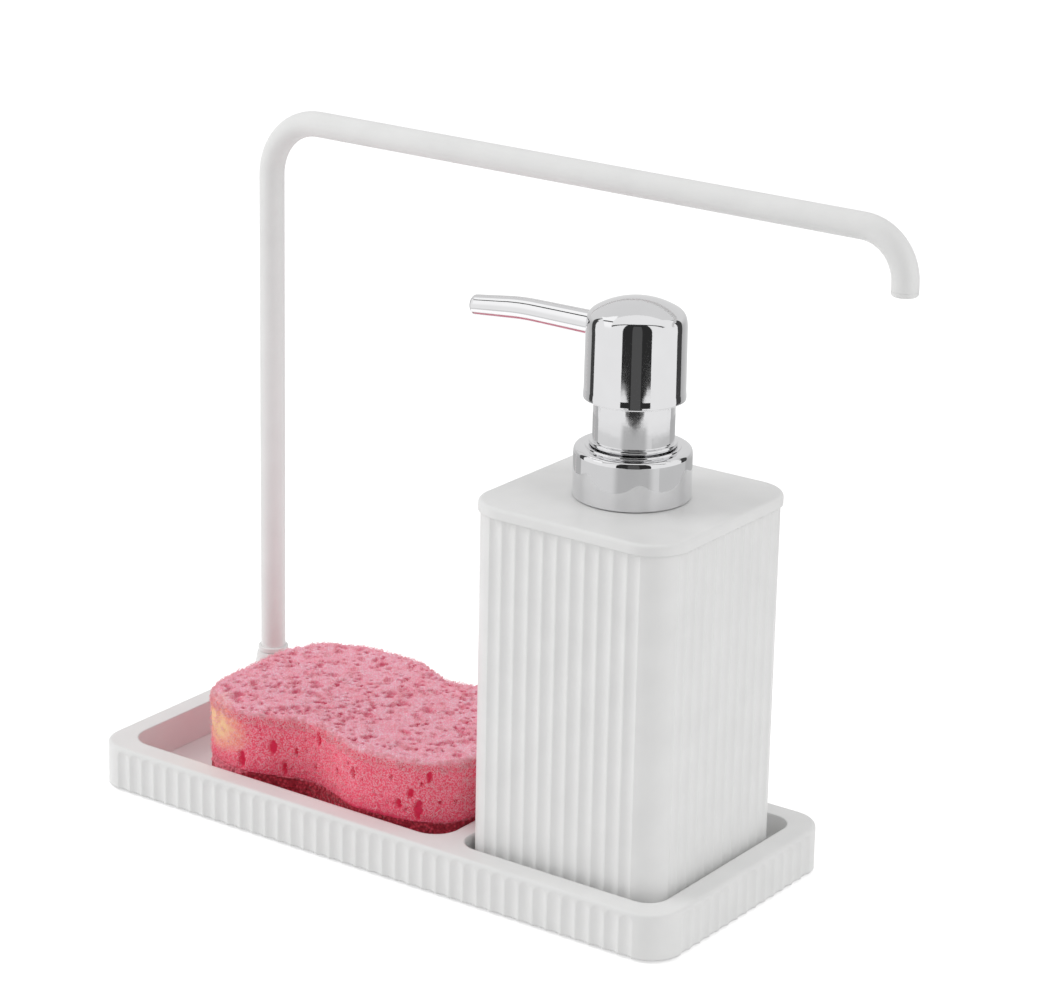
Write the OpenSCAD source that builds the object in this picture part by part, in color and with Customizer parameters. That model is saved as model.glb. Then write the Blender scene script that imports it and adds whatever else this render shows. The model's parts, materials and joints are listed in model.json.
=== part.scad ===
// Soap pump caddy: a fluted tray with two wells, a bent tube rail along its back,
// a wave-shaped sponge, and a square fluted bottle with a press pump.
// Millimetres, +Z up. The origin is on the table, under the middle of the outline,
// +X runs along the tray towards the rail's free tip, and the front faces -Y.

/* [Tray] */
// Height of the tray's wall
tray_h = 13.3; // [12:0.1:18]
// Radius of the tray's corners, seen from above
tray_corner_r = 10; // [8:0.5:12]
// Rounding of the rim's outer top edge
tray_edge_r = 1; // [0.6:0.1:1.5]
// Width of the flat rim
rim_w = 6.9; // [6:0.1:8]
// Width of the rib between the wells
rib_w = 5; // [3:0.1:8]
// Thickness of the tray's floor
tray_floor = 2.6; // [2:0.1:4]
// Corner radius of the sponge well
sponge_well_r = 8; // [5:0.5:12]
// Corner radius of the bottle well
bottle_well_r = 6.5; // [4:0.5:9]
// Spacing of the tray's flutes
flute_pitch = 4.75; // [4:0.05:6]
// Depth of every flute
flute_depth = 0.55; // [0.3:0.05:0.8]
// Flat land left between two flutes
flute_land = 0.45; // [0.3:0.05:1]
// Smooth band of the rim above the flutes' round ends
flute_top_gap = 1; // [0.6:0.1:2]

/* [Anti-slip pads] */
// Radius of a pad
pad_r = 5; // [3:0.5:6]
// How far a pad stands below the tray
pad_show = 0.8; // [0.4:0.1:1.5]
// How deep a pad sits in the tray's underside
pad_sunk = 0.7; // [0.4:0.1:1]
// From the tray's end to a pad's middle
pad_end_inset = 18; // [16:1:24]
// From the tray's side to a pad's middle
pad_side_inset = 11; // [8:1:14]

/* [Post boss] */
// How much wider the boss is at its root than at its top
boss_flare = 1.2; // [0.5:0.1:2.5]
// How much wider the boss's top is than the ring
boss_step = 0.4; // [0.1:0.1:1]
// From the tray's end to the boss
boss_end_gap = 0.2; // [0.1:0.05:3]
// Height of the boss above the rim
boss_h = 7.9; // [5:0.1:12]
// From the tray's back to the post's axis
post_side_inset = 10.5; // [8:0.1:14]
// Depth of the socket that takes the post's foot
socket_d = 6; // [4:0.5:8]

/* [Rail] */
// Outer radius of the tube
rail_r = 3.8; // [3.4:0.1:4.2]
// Wall of the tube
rail_wall = 0.9; // [0.7:0.1:1.2]
// Height of the bar's axis above the table
rail_z = 192.1; // [185:0.1:230]
// From the post's axis to the tip's axis
rail_reach = 217.9; // [200:0.1:240]
// Bend radius over the post, on the tube's axis
post_bend_r = 18; // [12:0.5:25]
// Bend radius at the tip, on the tube's axis
tip_bend_r = 13.5; // [10:0.5:14]
// Straight part of the tip, below its bend
tip_straight = 2.1; // [2:0.1:20]
// Thickness of the tip cap's edge
tip_cap_t = 0.6; // [0.4:0.1:1.2]
// How far the tip cap's middle is domed
tip_cap_dome = 0.9; // [0.5:0.1:1.5]
// Length of the tip cap's plug
tip_plug_l = 2; // [1:0.1:2]
// How far the ring round the post's foot stands out
ring_w = 0.9; // [0.5:0.1:1.5]
// Height of that ring
ring_h = 1.5; // [1:0.1:2.5]

/* [Rail fixing] */
// Radius of the screw's shank
screw_r = 2; // [1.5:0.1:2.2]
// Radius of the screw's head
screw_head_r = 3.5; // [3:0.1:3.8]
// Height of the screw's head
screw_head_h = 2.5; // [2.1:0.1:3]
// Radius of the screw's hexagon socket
screw_hex_r = 1.4; // [1:0.1:1.7]
// Depth of that socket
screw_hex_d = 1.6; // [1:0.1:2]
// Radius of the washer
washer_r = 4; // [3.8:0.1:4.2]
// Thickness of the washer
washer_t = 0.8; // [0.5:0.1:1]
// Room round the washer in its hole
washer_gap = 0.3; // [0.1:0.1:0.6]
// Depth of the hole for the washer and the screw's head
counterbore_d = 6; // [5:0.1:7]
// Length of the threaded insert in the post's foot
insert_l = 12; // [8:0.5:16]

/* [Sponge] */
// Length of the sponge
sponge_l = 96.5; // [80:0.5:112]
// Width of the sponge across its two lobes
sponge_w = 67; // [56:0.5:68]
// Height of the sponge's edge
sponge_h = 29.4; // [22:0.1:36]
// How far each side draws in at the waist
sponge_waist = 7.3; // [0:0.1:8]
// How far the front's waist lies off the middle, towards the well's free end
waist_front_shift = 4.8; // [0:0.1:10]
// How far the back's waist lies off the middle, towards the rib
waist_back_shift = 8.2; // [0:0.1:10]
// Height of the dark scrub layer under the foam
scrub_h = 10.6; // [6:0.1:14]
// Rounding of the foam's top edge
foam_edge_r = 3.2; // [2:0.1:5]
// How much the foam's top crowns over its edge
foam_crown = 0.9; // [0:0.1:3]
// From the sponge's end to the rib
sponge_end_gap = 0.5; // [0.5:0.1:4]
// From the sponge's side to the well's front wall
sponge_front_gap = 0.9; // [0.5:0.1:4]
// Free length of the well past the sponge's other end
sponge_free_l = 20.4; // [14:0.1:40]

/* [Bottle] */
// Width and depth of the bottle's body over its flutes
bottle_w = 64.2; // [56:0.1:70]
// Height of the bottle's body
bottle_body_h = 108.4; // [95:0.1:125]
// Corner radius of the body
bottle_corner_r = 9; // [7:0.5:12]
// Wall of the body
bottle_wall = 2.2; // [1.8:0.1:3]
// Thickness of the body's floor
bottle_floor = 3; // [2:0.1:4]
// Spacing of the bottle's flutes
bottle_pitch = 4.55; // [4:0.05:6]
// Gap between the bottle and the rib
bottle_rib_gap = 0.8; // [0.5:0.1:3]
// Gap between the bottle and its well's other end
bottle_end_gap = 2; // [0.5:0.1:4]
// Gap between the bottle and the front wall of its well
bottle_front_gap = 2.2; // [0.8:0.1:6]
// Gap between the bottle and the back wall of its well
bottle_back_gap = 6; // [0.8:0.1:10]

/* [Bottle top] */
// How far the top plate overhangs the body
plate_overhang = 1.2; // [0.2:0.1:2.5]
// Corner radius of the plate
plate_corner_r = 11.5; // [8:0.5:12]
// Thickness of the plate
plate_t = 3.1; // [2.6:0.05:4]
// Rounding of the plate's top edge
plate_edge_r = 1.2; // [0.8:0.1:1.4]
// Depth of the spigot that plugs into the body
spigot_d = 4; // [3:0.5:6]
// Wall of the spigot
spigot_wall = 2; // [1.5:0.1:3]
// Outer radius of the neck
neck_r = 13.5; // [12:0.1:16]
// Wall of the neck
neck_wall = 1.9; // [1.2:0.1:2.5]

/* [Pump collar] */
// How much wider the chromed collar is at its foot than under its shoulder
collar_flare = 0.3; // [0.1:0.1:1]
// Height of the collar
collar_h = 13.8; // [12:0.1:18]
// Wall of the collar's shell
collar_wall = 0.6; // [0.4:0.1:0.6]
// Rounding of the collar's shoulder
collar_round = 1.6; // [1:0.1:2]
// Width of the raised lip on the collar's top
lip_w = 1.5; // [0.8:0.1:1.8]
// Height of that lip
lip_h = 0.5; // [0.2:0.1:0.8]
// Room round the sleeve in the collar's hole
collar_hole_gap = 0.45; // [0.3:0.05:0.8]
// Wall of the screw cap's top
cap_t = 0.9; // [0.7:0.1:1.2]
// Wall of the screw cap's side
cap_side = 1.68; // [1.2:0.02:2.4]

/* [Pump sleeve] */
// How much narrower the sleeve is than the neck's bore
sleeve_step = 0.35; // [0.3:0.05:1.5]
// Wall of the sleeve
sleeve_wall = 0.6; // [0.4:0.1:0.7]
// How far the bead at the sleeve's foot stands out
bead_w = 0.95; // [0.7:0.05:1.2]
// Height of that bead
bead_h = 1.2; // [0.8:0.1:2]
// How far the sleeve reaches into the head
sleeve_in = 3.4; // [2:0.1:3.6]

/* [Pump head] */
// Gap between the sleeve and the head's shell
head_gap = 2.05; // [1.4:0.05:3]
// Wall of the head's shell
head_wall = 0.7; // [0.5:0.1:0.9]
// From the collar's top up to the head's skirt when the head is pressed
skirt_rest = 3.8; // [2.5:0.1:8]
// Height of the head's dome
head_dome_h = 7.2; // [6:0.1:9]
// How far the head can be pressed down
press_travel = 10; // [7:0.1:12]

/* [Spout] */
// Wall of the head's core under and over the spout
spout_floor = 0.8; // [0.6:0.05:1.5]
// From the spout's axis up to the foot of the dome
spout_cover = 2.65; // [2.4:0.05:8]
// Radius of the spout where it enters the head
spout_root_r = 3.5; // [3.2:0.05:3.8]
// Radius of the spout at its knee
spout_mid_r = 3.3; // [2.8:0.05:3.4]
// Radius of the spout at its tip
spout_tip_r = 2.95; // [2.4:0.05:3]
// Radius of the spout's bore at its tip
spout_bore_r = 1.5; // [1:0.1:1.6]
// Radius of the spout's bore up to its knee
spout_feed_r = 1.9; // [1.8:0.1:2.2]
// From the pump's axis to the spout's knee
spout_straight = 37.4; // [25:0.1:45]
// Length of the drooping end past the knee
spout_end_l = 17; // [8:0.1:25]
// How far the spout's end droops, in degrees
spout_droop = 6.5; // [2:0.5:12]
// Rounding of the spout's tip
spout_tip_round = 0.8; // [0.4:0.1:1]

/* [Pump mechanism] */
// Outer radius of the pump cylinder
cylinder_r = 6.2; // [6:0.1:6.6]
// Wall of the pump cylinder
cylinder_wall = 1.2; // [0.8:0.1:1.4]
// Thickness of the flange that sits on the neck
flange_t = 1.2; // [1:0.1:1.6]
// Thickness of the neck gasket
gasket_t = 0.8; // [0.5:0.1:1.2]
// Height of the lock ring over the flange
lock_h = 6.2; // [4:0.1:7]
// Depth of the lock ring's spigot in the cylinder
lock_spigot = 6; // [4:0.1:8]
// Outer radius of the hollow stem
stem_r = 4; // [3.6:0.1:4]
// Wall of the stem
stem_wall = 1.4; // [0.9:0.1:1.8]
// Room between the stem and the rod that holds the piston on it
rod_gap = 0.5; // [0.2:0.1:0.8]
// Length of the piston
piston_l = 6.8; // [6:0.1:9]
// Length of the return spring at rest
spring_l = 32; // [28:0.5:40]
// Room between the spring and the cylinder
spring_gap = 0.7; // [0.4:0.1:1]
// Radius of the spring's wire
spring_wire_r = 0.4; // [0.3:0.05:0.5]
// Number of turns of the spring
spring_turns = 8; // [6:1:10]
// Radius of the valve ball
ball_r = 2.4; // [2:0.1:2.5]
// How far the ball can lift off its seat
ball_lift = 1.2; // [0.8:0.1:1.5]
// Outer radius of the dip tube
dip_r = 3; // [2.5:0.1:3.2]
// Wall of the dip tube
dip_wall = 0.8; // [0.5:0.1:1]
// From the bottle's floor to the end of the dip tube
dip_end_gap = 2; // [1:0.5:5]

/* [Hidden] */

// Faces round a large curve, a small curve, and steps in a drawn arc
round_n = 96;
small_n = 48;
arc_n = 8;
// How far round the head's dome is drawn before it ends in a small flat, in degrees
dome_arc = 86;
// One overrun for every cut
cut = 1;
// Clearances: pieces that seat in each other, pieces that slide or turn in a bore,
// pieces that turn free of each other, a piece that rests in its well, a lost stop
seat_gap = 0.02;
slide_gap = 0.05;
turn_gap = 0.3;
rest_gap = 0.3;
stop_gap = 0.4;

// Radii of the rail's foot, from the ring out to the boss's root
ring_r = rail_r + ring_w;
boss_top_r = ring_r + boss_step;
boss_r = boss_top_r + boss_flare;
counterbore_r = washer_r + washer_gap;

// Radii of the pump's closure, from the neck in and then out to the head and the collar
neck_bore_r = neck_r - neck_wall;
sleeve_r = neck_bore_r - sleeve_step;
bead_r = sleeve_r + bead_w;
head_r = sleeve_r + head_gap + head_wall;
collar_hole_r = sleeve_r + collar_hole_gap;
lip_r = collar_hole_r + lip_w;
collar_top_r = neck_r + turn_gap + cap_side + seat_gap + collar_wall;
collar_r = collar_top_r + collar_flare;
flange_r = neck_r - turn_gap;

// Radii of the pump's mechanism
cylinder_bore_r = cylinder_r - cylinder_wall;
stem_bore_r = stem_r - stem_wall;
rod_r = stem_bore_r - rod_gap;
spring_r = cylinder_bore_r - spring_gap - spring_wire_r;

// Levels over the table, from the pads up to the piston
tray_z = pad_show;
rim_z = tray_z + tray_h;
floor_z = tray_z + tray_floor;
bottle_z = floor_z + rest_gap;
body_top_z = bottle_z + bottle_body_h;
plate_z = body_top_z + plate_t;
collar_z = plate_z + turn_gap;
collar_top_z = collar_z + collar_h;
cap_top_z = collar_top_z - collar_wall - seat_gap;
cap_under_z = cap_top_z - cap_t;
flange_z = cap_under_z - turn_gap;
neck_z = flange_z - flange_t - gasket_t;
skirt_z = collar_top_z + skirt_rest + press_travel;
sleeve_top_z = skirt_z + sleeve_in;
lock_top_z = flange_z + lock_h;
core_boss_z = lock_top_z + press_travel + stop_gap;
core_under_z = sleeve_top_z + press_travel + stop_gap;
spout_z = core_under_z + spout_floor + spout_root_r;
dome_z = spout_z + spout_cover;
core_top_z = max(dome_z, spout_z + spout_root_r + spout_floor);
piston_top_z = flange_z - lock_spigot - stop_gap;
piston_z = piston_top_z - piston_l;

// Plan of the tray: the bottle's well at the right, the sponge's well at the left
bottle_well_l = bottle_rib_gap + bottle_w + bottle_end_gap;
sponge_well_l = sponge_free_l + sponge_l + sponge_end_gap;
well_w = max(bottle_w + bottle_front_gap + bottle_back_gap, sponge_w + 2 * sponge_front_gap);
tray_l = rim_w + sponge_well_l + rib_w + bottle_well_l + rim_w;
tray_w = well_w + 2 * rim_w;
sponge_well_x0 = rim_w - tray_l / 2;
sponge_well_x1 = sponge_well_x0 + sponge_well_l;
bottle_well_x = sponge_well_x1 + rib_w + bottle_well_l / 2;
bottle_x = sponge_well_x1 + rib_w + bottle_rib_gap + bottle_w / 2;
bottle_y = bottle_front_gap + bottle_w / 2 - well_w / 2;
plate_w = bottle_w + 2 * plate_overhang;
post_x = boss_end_gap + boss_r - tray_l / 2;
post_y = tray_w / 2 - post_side_inset;
tip_x = post_x + rail_reach;
// The middle of the whole outline, which runs from the tray's end to the rail's tip
frame_x = (tip_x + rail_r - tray_l / 2) / 2;

// Rail: the foot of the post in its socket, the closed end of the tip, the washer's face
rail_foot_z = rim_z + boss_h - socket_d;
tip_z = rail_z - tip_bend_r - tip_straight;
washer_z = tray_z + counterbore_d - washer_t;

// Sponge: points round the outline, how square its oval is, and its place
sponge_n = 48;
sponge_power = 4;
sponge_x = sponge_well_x1 - sponge_end_gap - sponge_l / 2;
sponge_y = sponge_front_gap + sponge_w / 2 - well_w / 2;

// Piston: the rod's flange, plug and length, and the web that the stem stands on
rod_flange_t = 1.4;
rod_plug_l = 3;
rod_l = 14;
piston_web = 2.6;

// Cylinder, from the spring's seat down: snap lip, ball chamber, ball seat, tube socket
chamber_gap = 0.2;
snap_gap = 0.3;
seat_land = 1.6;
socket_l = 10;
seat_hole_r = ball_r * 2 / 3;
ball_rest = sqrt(pow(ball_r, 2) - pow(seat_hole_r, 2));
chamber_h = ball_rest + ball_r + ball_lift + slide_gap + seat_gap;
snap_h = cylinder_r - cylinder_bore_r;
spring_seat_z = piston_z - rod_flange_t - seat_gap - spring_l;
chamber_z = spring_seat_z - snap_h - chamber_h;
socket_top_z = chamber_z - seat_land;
cylinder_foot_r = dip_r + seat_gap + snap_h;

// Lock ring's foot, the stem's socket in the head's core, the core's boss, the spout's seat
lock_foot_h = 1.6;
stem_socket = 6;
core_boss_r = cylinder_r + turn_gap;
spout_seat = 6;

// Sides of the spring's wire, and rings to a turn
wire_sides = 6;
turn_steps = 8;

// A groove of the given pitch is a cylinder that leaves the land between grooves
function groove_r(pitch) = pow((pitch - flute_land) / 2, 2) / (2 * flute_depth) + flute_depth / 2;
function groove_count(side, corner_r, pitch) = round((side - 2 * corner_r) / pitch + 1 / 2);
function arc_points(x, z, rx, rz, from, to) =
    [for (i = [0:arc_n]) let (a = from + (to - from) * i / arc_n) [x + rx * cos(a), z + rz * sin(a)]];

module at_frame() {
    translate([-frame_x, 0, 0]) children();
}

module at_pump(z = 0) {
    translate([bottle_x - frame_x, bottle_y, z]) children();
}

module rounded_rect(l, w, r) {
    square([l - 2 * r, w], center = true);
    square([l, w - 2 * r], center = true);
    for (x = [-1, 1], y = [-1, 1])
        translate([x * (l / 2 - r), y * (w / 2 - r)]) circle(r = r, $fn = round_n);
}

// A slab with upright rounded corners and a rounded outer top edge
module rounded_slab(l, w, h, r, edge) {
    linear_extrude(h - edge) rounded_rect(l, w, r);
    translate([0, 0, h - 2 * edge]) linear_extrude(2 * edge) rounded_rect(l - 2 * edge, w - 2 * edge, r - edge);
    translate([0, 0, h - edge]) {
        for (s = [-1, 1]) {
            translate([r - l / 2, s * (w / 2 - edge), 0]) rotate([0, 90, 0])
                cylinder(r = edge, h = l - 2 * r, $fn = small_n);
            translate([s * (l / 2 - edge), r - w / 2, 0]) rotate([-90, 0, 0])
                cylinder(r = edge, h = w - 2 * r, $fn = small_n);
        }
        for (i = [0:3]) {
            x = (i == 0 || i == 3 ? 1 : -1) * (l / 2 - r);
            y = (i < 2 ? 1 : -1) * (w / 2 - r);
            translate([x, y, 0]) rotate([0, 0, 90 * i]) rotate_extrude(angle = 90, $fn = round_n)
                translate([r - edge, 0]) circle(r = edge, $fn = small_n);
        }
    }
}

// Centres of the grooves along a side, about the side's middle
function groove_places(side, corner_r, pitch) =
    let (n = groove_count(side, corner_r, pitch)) [for (i = [0:n - 1]) (i - (n - 1) / 2) * pitch];

module tray_groove() {
    r = groove_r(flute_pitch);
    top = tray_h - flute_top_gap - (flute_pitch - flute_land) / 2;
    translate([0, 0, -cut]) cylinder(r = r, h = top + cut, $fn = round_n);
    translate([0, 0, top]) sphere(r = r, $fn = small_n);
}

module tray_grooves() {
    out = groove_r(flute_pitch) - flute_depth;
    for (x = groove_places(tray_l, tray_corner_r, flute_pitch), s = [-1, 1])
        translate([x, s * (tray_w / 2 + out), 0]) tray_groove();
    for (y = groove_places(tray_w, tray_corner_r, flute_pitch), s = [-1, 1])
        translate([s * (tray_l / 2 + out), y, 0]) tray_groove();
}

module pad_places() {
    for (x = [-1, 1], y = [-1, 1])
        translate([x * (tray_l / 2 - pad_end_inset), y * (tray_w / 2 - pad_side_inset), 0]) children();
}

// The boss swells from the corner of the tray and closes in a shoulder under the ring
module post_boss() {
    top = tray_h + boss_h;
    shoulder = boss_top_r - rail_r;
    rotate_extrude($fn = round_n) polygon(concat(
        [[0, 0], [boss_r, 0], [boss_r, tray_h]],
        arc_points(boss_top_r - shoulder, top - shoulder, shoulder, shoulder, 0, 90),
        [[0, top]]));
}

module tray() {
    color("white") at_frame() translate([0, 0, tray_z]) difference() {
        union() {
            difference() {
                rounded_slab(tray_l, tray_w, tray_h, tray_corner_r, tray_edge_r);
                translate([(sponge_well_x0 + sponge_well_x1) / 2, 0, tray_floor]) linear_extrude(tray_h)
                    rounded_rect(sponge_well_l, well_w, sponge_well_r);
                translate([bottle_well_x, 0, tray_floor]) linear_extrude(tray_h)
                    rounded_rect(bottle_well_l, well_w, bottle_well_r);
            }
            translate([post_x, post_y, 0]) post_boss();
        }
        tray_grooves();
        translate([post_x, post_y, tray_h + boss_h - socket_d])
            cylinder(r = rail_r + seat_gap, h = socket_d + cut, $fn = round_n);
        translate([post_x, post_y, 0]) {
            cylinder(r = screw_r + slide_gap, h = tray_h + boss_h, $fn = small_n);
            translate([0, 0, -cut]) cylinder(r = counterbore_r, h = counterbore_d + cut, $fn = round_n);
        }
        pad_places() translate([0, 0, -cut]) cylinder(r = pad_r + seat_gap, h = pad_sunk + cut, $fn = round_n);
    }
}

module foot_pads() {
    color("lightgrey") at_frame() pad_places() cylinder(r = pad_r, h = pad_show + pad_sunk, $fn = round_n);
}

// The axis of the rail, drawn solid at a radius: post, bend, bar, bend, short drop
module rail_run(r, past) {
    translate([post_x, post_y, rail_foot_z - past])
        cylinder(r = r, h = rail_z - post_bend_r - rail_foot_z + past, $fn = round_n);
    translate([post_x + post_bend_r, post_y, rail_z - post_bend_r]) rotate([90, 0, 0])
        rotate([0, 0, 90]) rotate_extrude(angle = 90, $fn = round_n)
            translate([post_bend_r, 0]) circle(r = r, $fn = round_n);
    translate([post_x + post_bend_r, post_y, rail_z]) rotate([0, 90, 0])
        cylinder(r = r, h = rail_reach - post_bend_r - tip_bend_r, $fn = round_n);
    translate([tip_x - tip_bend_r, post_y, rail_z - tip_bend_r]) rotate([90, 0, 0])
        rotate_extrude(angle = 90, $fn = round_n) translate([tip_bend_r, 0]) circle(r = r, $fn = round_n);
    translate([tip_x, post_y, tip_z - past])
        cylinder(r = r, h = rail_z - tip_bend_r - tip_z + past, $fn = round_n);
}

module rail_tube() {
    color("whitesmoke") at_frame() difference() {
        rail_run(rail_r, 0);
        rail_run(rail_r - rail_wall, cut);
    }
}

module rail_end_cap() {
    edge = tip_cap_dome;
    plug_r = rail_r - rail_wall - seat_gap;
    color("whitesmoke") at_frame() translate([tip_x, post_y, tip_z]) mirror([0, 0, 1])
        rotate_extrude($fn = round_n) polygon(concat(
            [[0, -tip_plug_l], [plug_r, -tip_plug_l], [plug_r, 0], [rail_r, 0]],
            arc_points(rail_r - edge, tip_cap_t, edge, edge, 0, 90),
            [[0, tip_cap_t + tip_cap_dome]]));
}

module rail_base_ring() {
    edge = (ring_r - rail_r) / 2;
    color("whitesmoke") at_frame() translate([post_x, post_y, rim_z + boss_h]) rotate_extrude($fn = round_n)
        polygon(concat([[rail_r + seat_gap, 0], [ring_r, 0]],
            arc_points(ring_r - edge, ring_h - edge, edge, edge, 0, 90), [[rail_r + seat_gap, ring_h]]));
}

module rail_insert() {
    color("goldenrod") at_frame() translate([post_x, post_y, rail_foot_z]) difference() {
        cylinder(r = rail_r - rail_wall - seat_gap, h = insert_l, $fn = round_n);
        translate([0, 0, -cut]) cylinder(r = screw_r + seat_gap, h = insert_l + 2 * cut, $fn = round_n);
    }
}

// The screw goes up through the washer and the boss into the insert
module rail_screw() {
    shank = rail_foot_z + insert_l - washer_z;
    color("silver") at_frame() translate([post_x, post_y, washer_z - screw_head_h]) difference() {
        union() {
            cylinder(r = screw_head_r, h = screw_head_h, $fn = round_n);
            cylinder(r = screw_r, h = screw_head_h + shank, $fn = round_n);
        }
        translate([0, 0, -cut]) cylinder(r = screw_hex_r, h = screw_hex_d + cut, $fn = 6);
    }
}

module rail_washer() {
    color("silver") at_frame() translate([post_x, post_y, washer_z]) difference() {
        cylinder(r = washer_r, h = washer_t, $fn = round_n);
        translate([0, 0, -cut]) cylinder(r = screw_r + slide_gap, h = washer_t + 2 * cut, $fn = small_n);
    }
}

// The sponge's outline: a squarish oval, drawn in at a waist that lies skew across it
function waist(s) = abs(s) < 1 / 2 ? pow(cos(180 * s), 2) : 0;
function sponge_point(i, inset, z) =
    let (a = 360 * i / sponge_n,
        reach = pow(pow(abs(cos(a)), sponge_power) + pow(abs(sin(a)), sponge_power), -1 / sponge_power),
        s = reach * cos(a),
        v = reach * sin(a),
        shift = v < 0 ? -waist_front_shift : waist_back_shift,
        drawn = sponge_waist * waist(s - 2 * shift / sponge_l))
    [s * (sponge_l / 2 - inset), v * (sponge_w / 2 - inset - drawn), z];
function sponge_ring(inset, z) = [for (i = [0:sponge_n - 1]) sponge_point(i, inset, z)];

module at_sponge(z) {
    at_frame() translate([sponge_x, sponge_y, floor_z + rest_gap + z]) children();
}

module sponge_scrub_layer() {
    color("firebrick") at_sponge(0) linear_extrude(scrub_h)
        polygon([for (p = sponge_ring(0, 0)) [p[0], p[1]]]);
}

// The foam closes in at its top edge along a quarter round and crowns to the middle
module sponge_foam() {
    side_h = sponge_h - scrub_h - foam_edge_r;
    edge_steps = 4;
    rings = concat(
        [sponge_ring(0, 0), sponge_ring(0, side_h)],
        [for (k = [1:edge_steps]) let (a = 90 * k / edge_steps)
            sponge_ring(foam_edge_r * (1 - cos(a)), side_h + foam_edge_r * sin(a))],
        [sponge_ring(sponge_w / 4, side_h + foam_edge_r + foam_crown * 2 / 3)]);
    count = len(rings);
    points = concat([for (r = rings) each r],
        [[0, 0, 0], [0, 0, side_h + foam_edge_r + foam_crown]]);
    low = count * sponge_n;
    high = low + 1;
    top = (count - 1) * sponge_n;
    faces = concat(
        [for (k = [0:count - 2], i = [0:sponge_n - 1]) let (j = (i + 1) % sponge_n)
            each [[k * sponge_n + i, (k + 1) * sponge_n + j, k * sponge_n + j],
                [k * sponge_n + i, (k + 1) * sponge_n + i, (k + 1) * sponge_n + j]]],
        [for (i = [0:sponge_n - 1]) let (j = (i + 1) % sponge_n) each [[low, i, j], [high, top + j, top + i]]]);
    color("hotpink") at_sponge(scrub_h) polyhedron(points = points, faces = faces);
}

module bottle_body() {
    out = groove_r(bottle_pitch) - flute_depth;
    color("white") at_pump(bottle_z) difference() {
        linear_extrude(bottle_body_h) difference() {
            rounded_rect(bottle_w, bottle_w, bottle_corner_r);
            for (t = groove_places(bottle_w, bottle_corner_r, bottle_pitch), q = [0:3])
                rotate(90 * q) translate([t, bottle_w / 2 + out]) circle(r = groove_r(bottle_pitch), $fn = round_n);
        }
        translate([0, 0, bottle_floor]) linear_extrude(bottle_body_h)
            rounded_rect(bottle_w - 2 * bottle_wall, bottle_w - 2 * bottle_wall, bottle_corner_r - bottle_wall);
    }
}

module bottle_top() {
    plug_w = bottle_w - 2 * bottle_wall - 2 * seat_gap;
    plug_corner_r = bottle_corner_r - bottle_wall - seat_gap;
    color("white") at_pump(body_top_z) difference() {
        union() {
            rounded_slab(plate_w, plate_w, plate_t, plate_corner_r, plate_edge_r);
            translate([0, 0, -spigot_d]) difference() {
                linear_extrude(spigot_d) rounded_rect(plug_w, plug_w, plug_corner_r);
                translate([0, 0, -cut]) linear_extrude(spigot_d + cut)
                    rounded_rect(plug_w - 2 * spigot_wall, plug_w - 2 * spigot_wall, plug_corner_r - spigot_wall);
            }
            cylinder(r = neck_r, h = neck_z - body_top_z, $fn = round_n);
        }
        translate([0, 0, -cut]) cylinder(r = neck_bore_r, h = neck_z - body_top_z + 2 * cut, $fn = round_n);
    }
}

module tube(r, bore, h) {
    difference() {
        cylinder(r = r, h = h, $fn = round_n);
        translate([0, 0, -cut]) cylinder(r = bore, h = h + 2 * cut, $fn = round_n);
    }
}

module neck_gasket() {
    color("lightgrey") at_pump(neck_z) tube(neck_r - turn_gap, neck_bore_r, gasket_t);
}

module screw_cap() {
    color("gainsboro") at_pump(collar_z) difference() {
        cylinder(r = collar_top_r - collar_wall - seat_gap, h = cap_top_z - collar_z, $fn = round_n);
        translate([0, 0, -cut]) cylinder(r = neck_r + turn_gap, h = cap_under_z - collar_z + cut, $fn = round_n);
        cylinder(r = collar_hole_r, h = collar_h, $fn = round_n);
    }
}

module collar_shell() {
    inner_r = collar_top_r - collar_wall;
    edge = lip_h / 2;
    color("silver") at_pump(collar_z) rotate_extrude($fn = round_n) polygon(concat(
        [[inner_r, 0], [collar_r, 0]],
        arc_points(collar_top_r - collar_round, collar_h - collar_round, collar_round, collar_round, 0, 90),
        [[lip_r, collar_h]],
        arc_points(lip_r - edge, collar_h + edge, edge, edge, 0, 90),
        [[collar_hole_r + edge, collar_h + lip_h], [collar_hole_r, collar_h],
            [collar_hole_r, collar_h - collar_wall], [inner_r, collar_h - collar_wall]]));
}

// The cylinder hangs from its flange: bore, spring seat, ball chamber, ball seat, tube socket
module pump_housing() {
    color("ivory") at_pump() rotate_extrude($fn = round_n) polygon([
        [flange_r, flange_z], [flange_r, flange_z - flange_t],
        [cylinder_r, flange_z - flange_t], [cylinder_r, spring_seat_z - snap_h],
        [cylinder_foot_r, chamber_z], [cylinder_foot_r, socket_top_z - socket_l],
        [dip_r + seat_gap, socket_top_z - socket_l], [dip_r + seat_gap, socket_top_z],
        [seat_hole_r, socket_top_z], [seat_hole_r, chamber_z],
        [ball_r + chamber_gap, chamber_z], [ball_r + chamber_gap, chamber_z + chamber_h],
        [ball_r - snap_gap, chamber_z + chamber_h], [ball_r - snap_gap, spring_seat_z],
        [cylinder_bore_r, spring_seat_z], [cylinder_bore_r, flange_z]]);
}

module valve_ball() {
    color("silver") at_pump(chamber_z + ball_rest + slide_gap) sphere(r = ball_r, $fn = small_n);
}

module dip_tube() {
    z = bottle_z + bottle_floor + dip_end_gap;
    color("ghostwhite") at_pump(z) tube(dip_r, dip_r - dip_wall, socket_top_z - z);
}

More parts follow.
